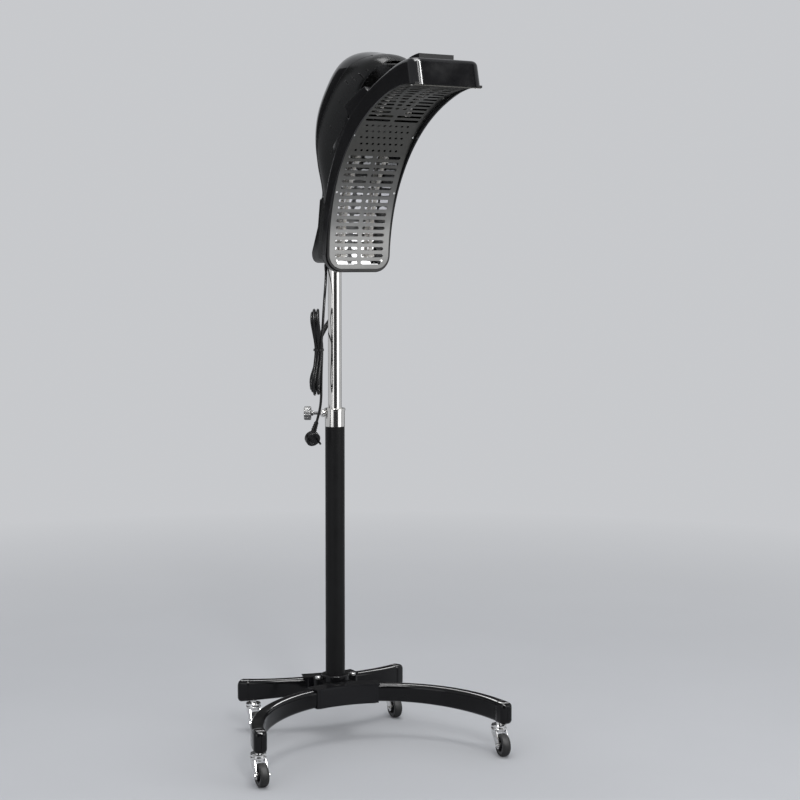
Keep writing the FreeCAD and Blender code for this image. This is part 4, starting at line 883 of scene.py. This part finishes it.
def stage_floor():
    """A plain pale floor."""
    mesh = bpy.data.meshes.new("floor")
    shape = bmesh.new()
    bmesh.ops.create_circle(shape, cap_ends=True, radius=FLOOR_RADIUS, segments=96)
    shape.to_mesh(mesh)
    shape.free()
    floor = linked("floor", mesh)
    material, tree, shader = new_material("floor", FLOOR_TONES[0], 0.6)
    tone = spread(tree, noise(tree, space(tree), 1.5, 3.0), 0.0, 1.0)
    tree.links.new(blend_colours(tree, tone, *FLOOR_TONES), shader.inputs["Base Color"])
    shader.inputs["Specular IOR Level"].default_value = 0.08
    length = tree.nodes.new("ShaderNodeVectorMath")
    length.operation = "LENGTH"
    tree.links.new(space(tree), length.inputs[0])
    far = tree.nodes.new("ShaderNodeEmission")
    far.inputs["Color"].default_value = (*ROOM, 1.0)
    join = tree.nodes.new("ShaderNodeMixShader")
    tree.links.new(spread(tree, length.outputs["Value"], 0.0, 1.0, *FLOOR_FADE), join.inputs["Fac"])
    tree.links.new(shader.outputs["BSDF"], join.inputs[1])
    tree.links.new(far.outputs["Emission"], join.inputs[2])
    tree.links.new(join.outputs["Shader"], tree.nodes["Material Output"].inputs["Surface"])
    mesh.materials.append(material)


def around(azimuth, distance, height):
    """A place round the stand; azimuth 0 is under the camera, and it grows to the right of the photograph."""
    angle = math.radians(azimuth)
    return (TOWARDS * math.cos(angle) + RIGHT * math.sin(angle)) * distance + Vector((0.0, 0.0, height))


def area_light(name, place, target, size, power):
    data = bpy.data.lights.new(name, "AREA")
    data.shape = "RECTANGLE"
    data.size, data.size_y = size
    data.energy = power
    lamp = linked(name, data)
    lamp.location = place
    lamp.rotation_euler = (Vector(target) - Vector(place)).to_track_quat("-Z", "Y").to_euler()
    return lamp


def gleam(name, place, target, size, power, only=()):
    """A soft box that only gloss sees: it draws the streaks on edges and leaves the level of the light alone.

    only holds words in the names of the pieces that it shines on. Without them it shines on all.
    """
    lamp = area_light(name, place, target, size, power)
    lamp.visible_diffuse = False
    lamp.visible_camera = False
    lamp.visible_transmission = False
    if only:
        lit = bpy.data.collections.new("lit_by_" + name)
        for piece in bpy.data.objects:
            if any(word in piece.name for word in only):
                lit.objects.link(piece)
        lamp.light_linking.receiver_collection = lit


def flag(name, azimuth, distance, width, low, high):
    """A dark card that only mirrors see: it gives chrome and gloss black their dark edges, as in a studio."""
    middle = around(azimuth, distance, 0.0)
    beside = Vector((0.0, 0.0, 1.0)).cross(middle).normalized() * (width / 2.0)
    mesh = bpy.data.meshes.new(name)
    corners = [tuple(middle + side * beside + Vector((0.0, 0.0, z)))
               for side, z in ((-1, low), (1, low), (1, high), (-1, high))]
    mesh.from_pydata(corners, [], [(0, 1, 2, 3)])
    card = linked(name, mesh)
    material, tree, shader = new_material(name, grey(0.02), 0.9)
    cloth = noise(tree, space(tree), 60.0, 2.0)
    tree.links.new(blend_colours(tree, cloth, grey(0.018), grey(0.026)), shader.inputs["Base Color"])
    mesh.materials.append(material)
    card.visible_camera = False
    card.visible_diffuse = False
    card.visible_shadow = False
    card.visible_transmission = False


def studio():
    """Soft boxes in front, at one side and above, dark cards for the reflections, and a pale room."""
    area_light("key", around(15.0, 3.5, 2.95), (0.0, -0.25, 1.0), (0.5, 1.2), 30.0)
    area_light("front", around(-33.0, 4.2, 1.5), (0.0, -0.2, 0.9), (2.2, 2.4), 21.0)
    area_light("side", around(60.0, 3.0, 1.15), (0.0, -0.2, 0.95), (1.8, 1.7), 14.0)
    area_light("top", (0.0, -0.1, 3.5), (0.0, -0.1, 0.8), (1.1, 1.1), 26.0)
    gleam("gleam_top", around(15.0, 1.3, 3.2), (0.0, -0.3, 0.6), (1.5, 1.0), 120.0)
    gleam("gleam_back", around(180.0, 2.6, 2.3), (0.0, -0.2, 0.4), (3.0, 0.7), 110.0, only=("beam", "sleeve"))
    gleam("gleam_corner", around(36.0, 3.0, 3.0), (0.0, -0.5, 1.45), (0.5, 2.2), 200.0)
    flag("flag_front", 13.0, 2.3, 2.1, 0.0, 1.9)
    flag("flag_side", 60.0, 2.6, 1.5, 2.15, 3.6)
    flag("flag_left", -122.0, 2.6, 2.2, 1.15, 2.6)
    flag("flag_back", 180.0, 2.4, 3.4, 0.2, 1.45)
    world = bpy.data.worlds.new("room")
    world.use_nodes = True
    background = world.node_tree.nodes["Background"]
    background.inputs["Color"].default_value = (*ROOM, 1.0)
    background.inputs["Strength"].default_value = 1.0
    bpy.context.scene.world = world
    bpy.context.scene.view_settings.view_transform = "Standard"


camera()
mains_lead()
beam_ends()
housing_beads()
vents()
shell_screws()
cheeks()
panel_marks()
dress_nodes()
stage_floor()
studio()
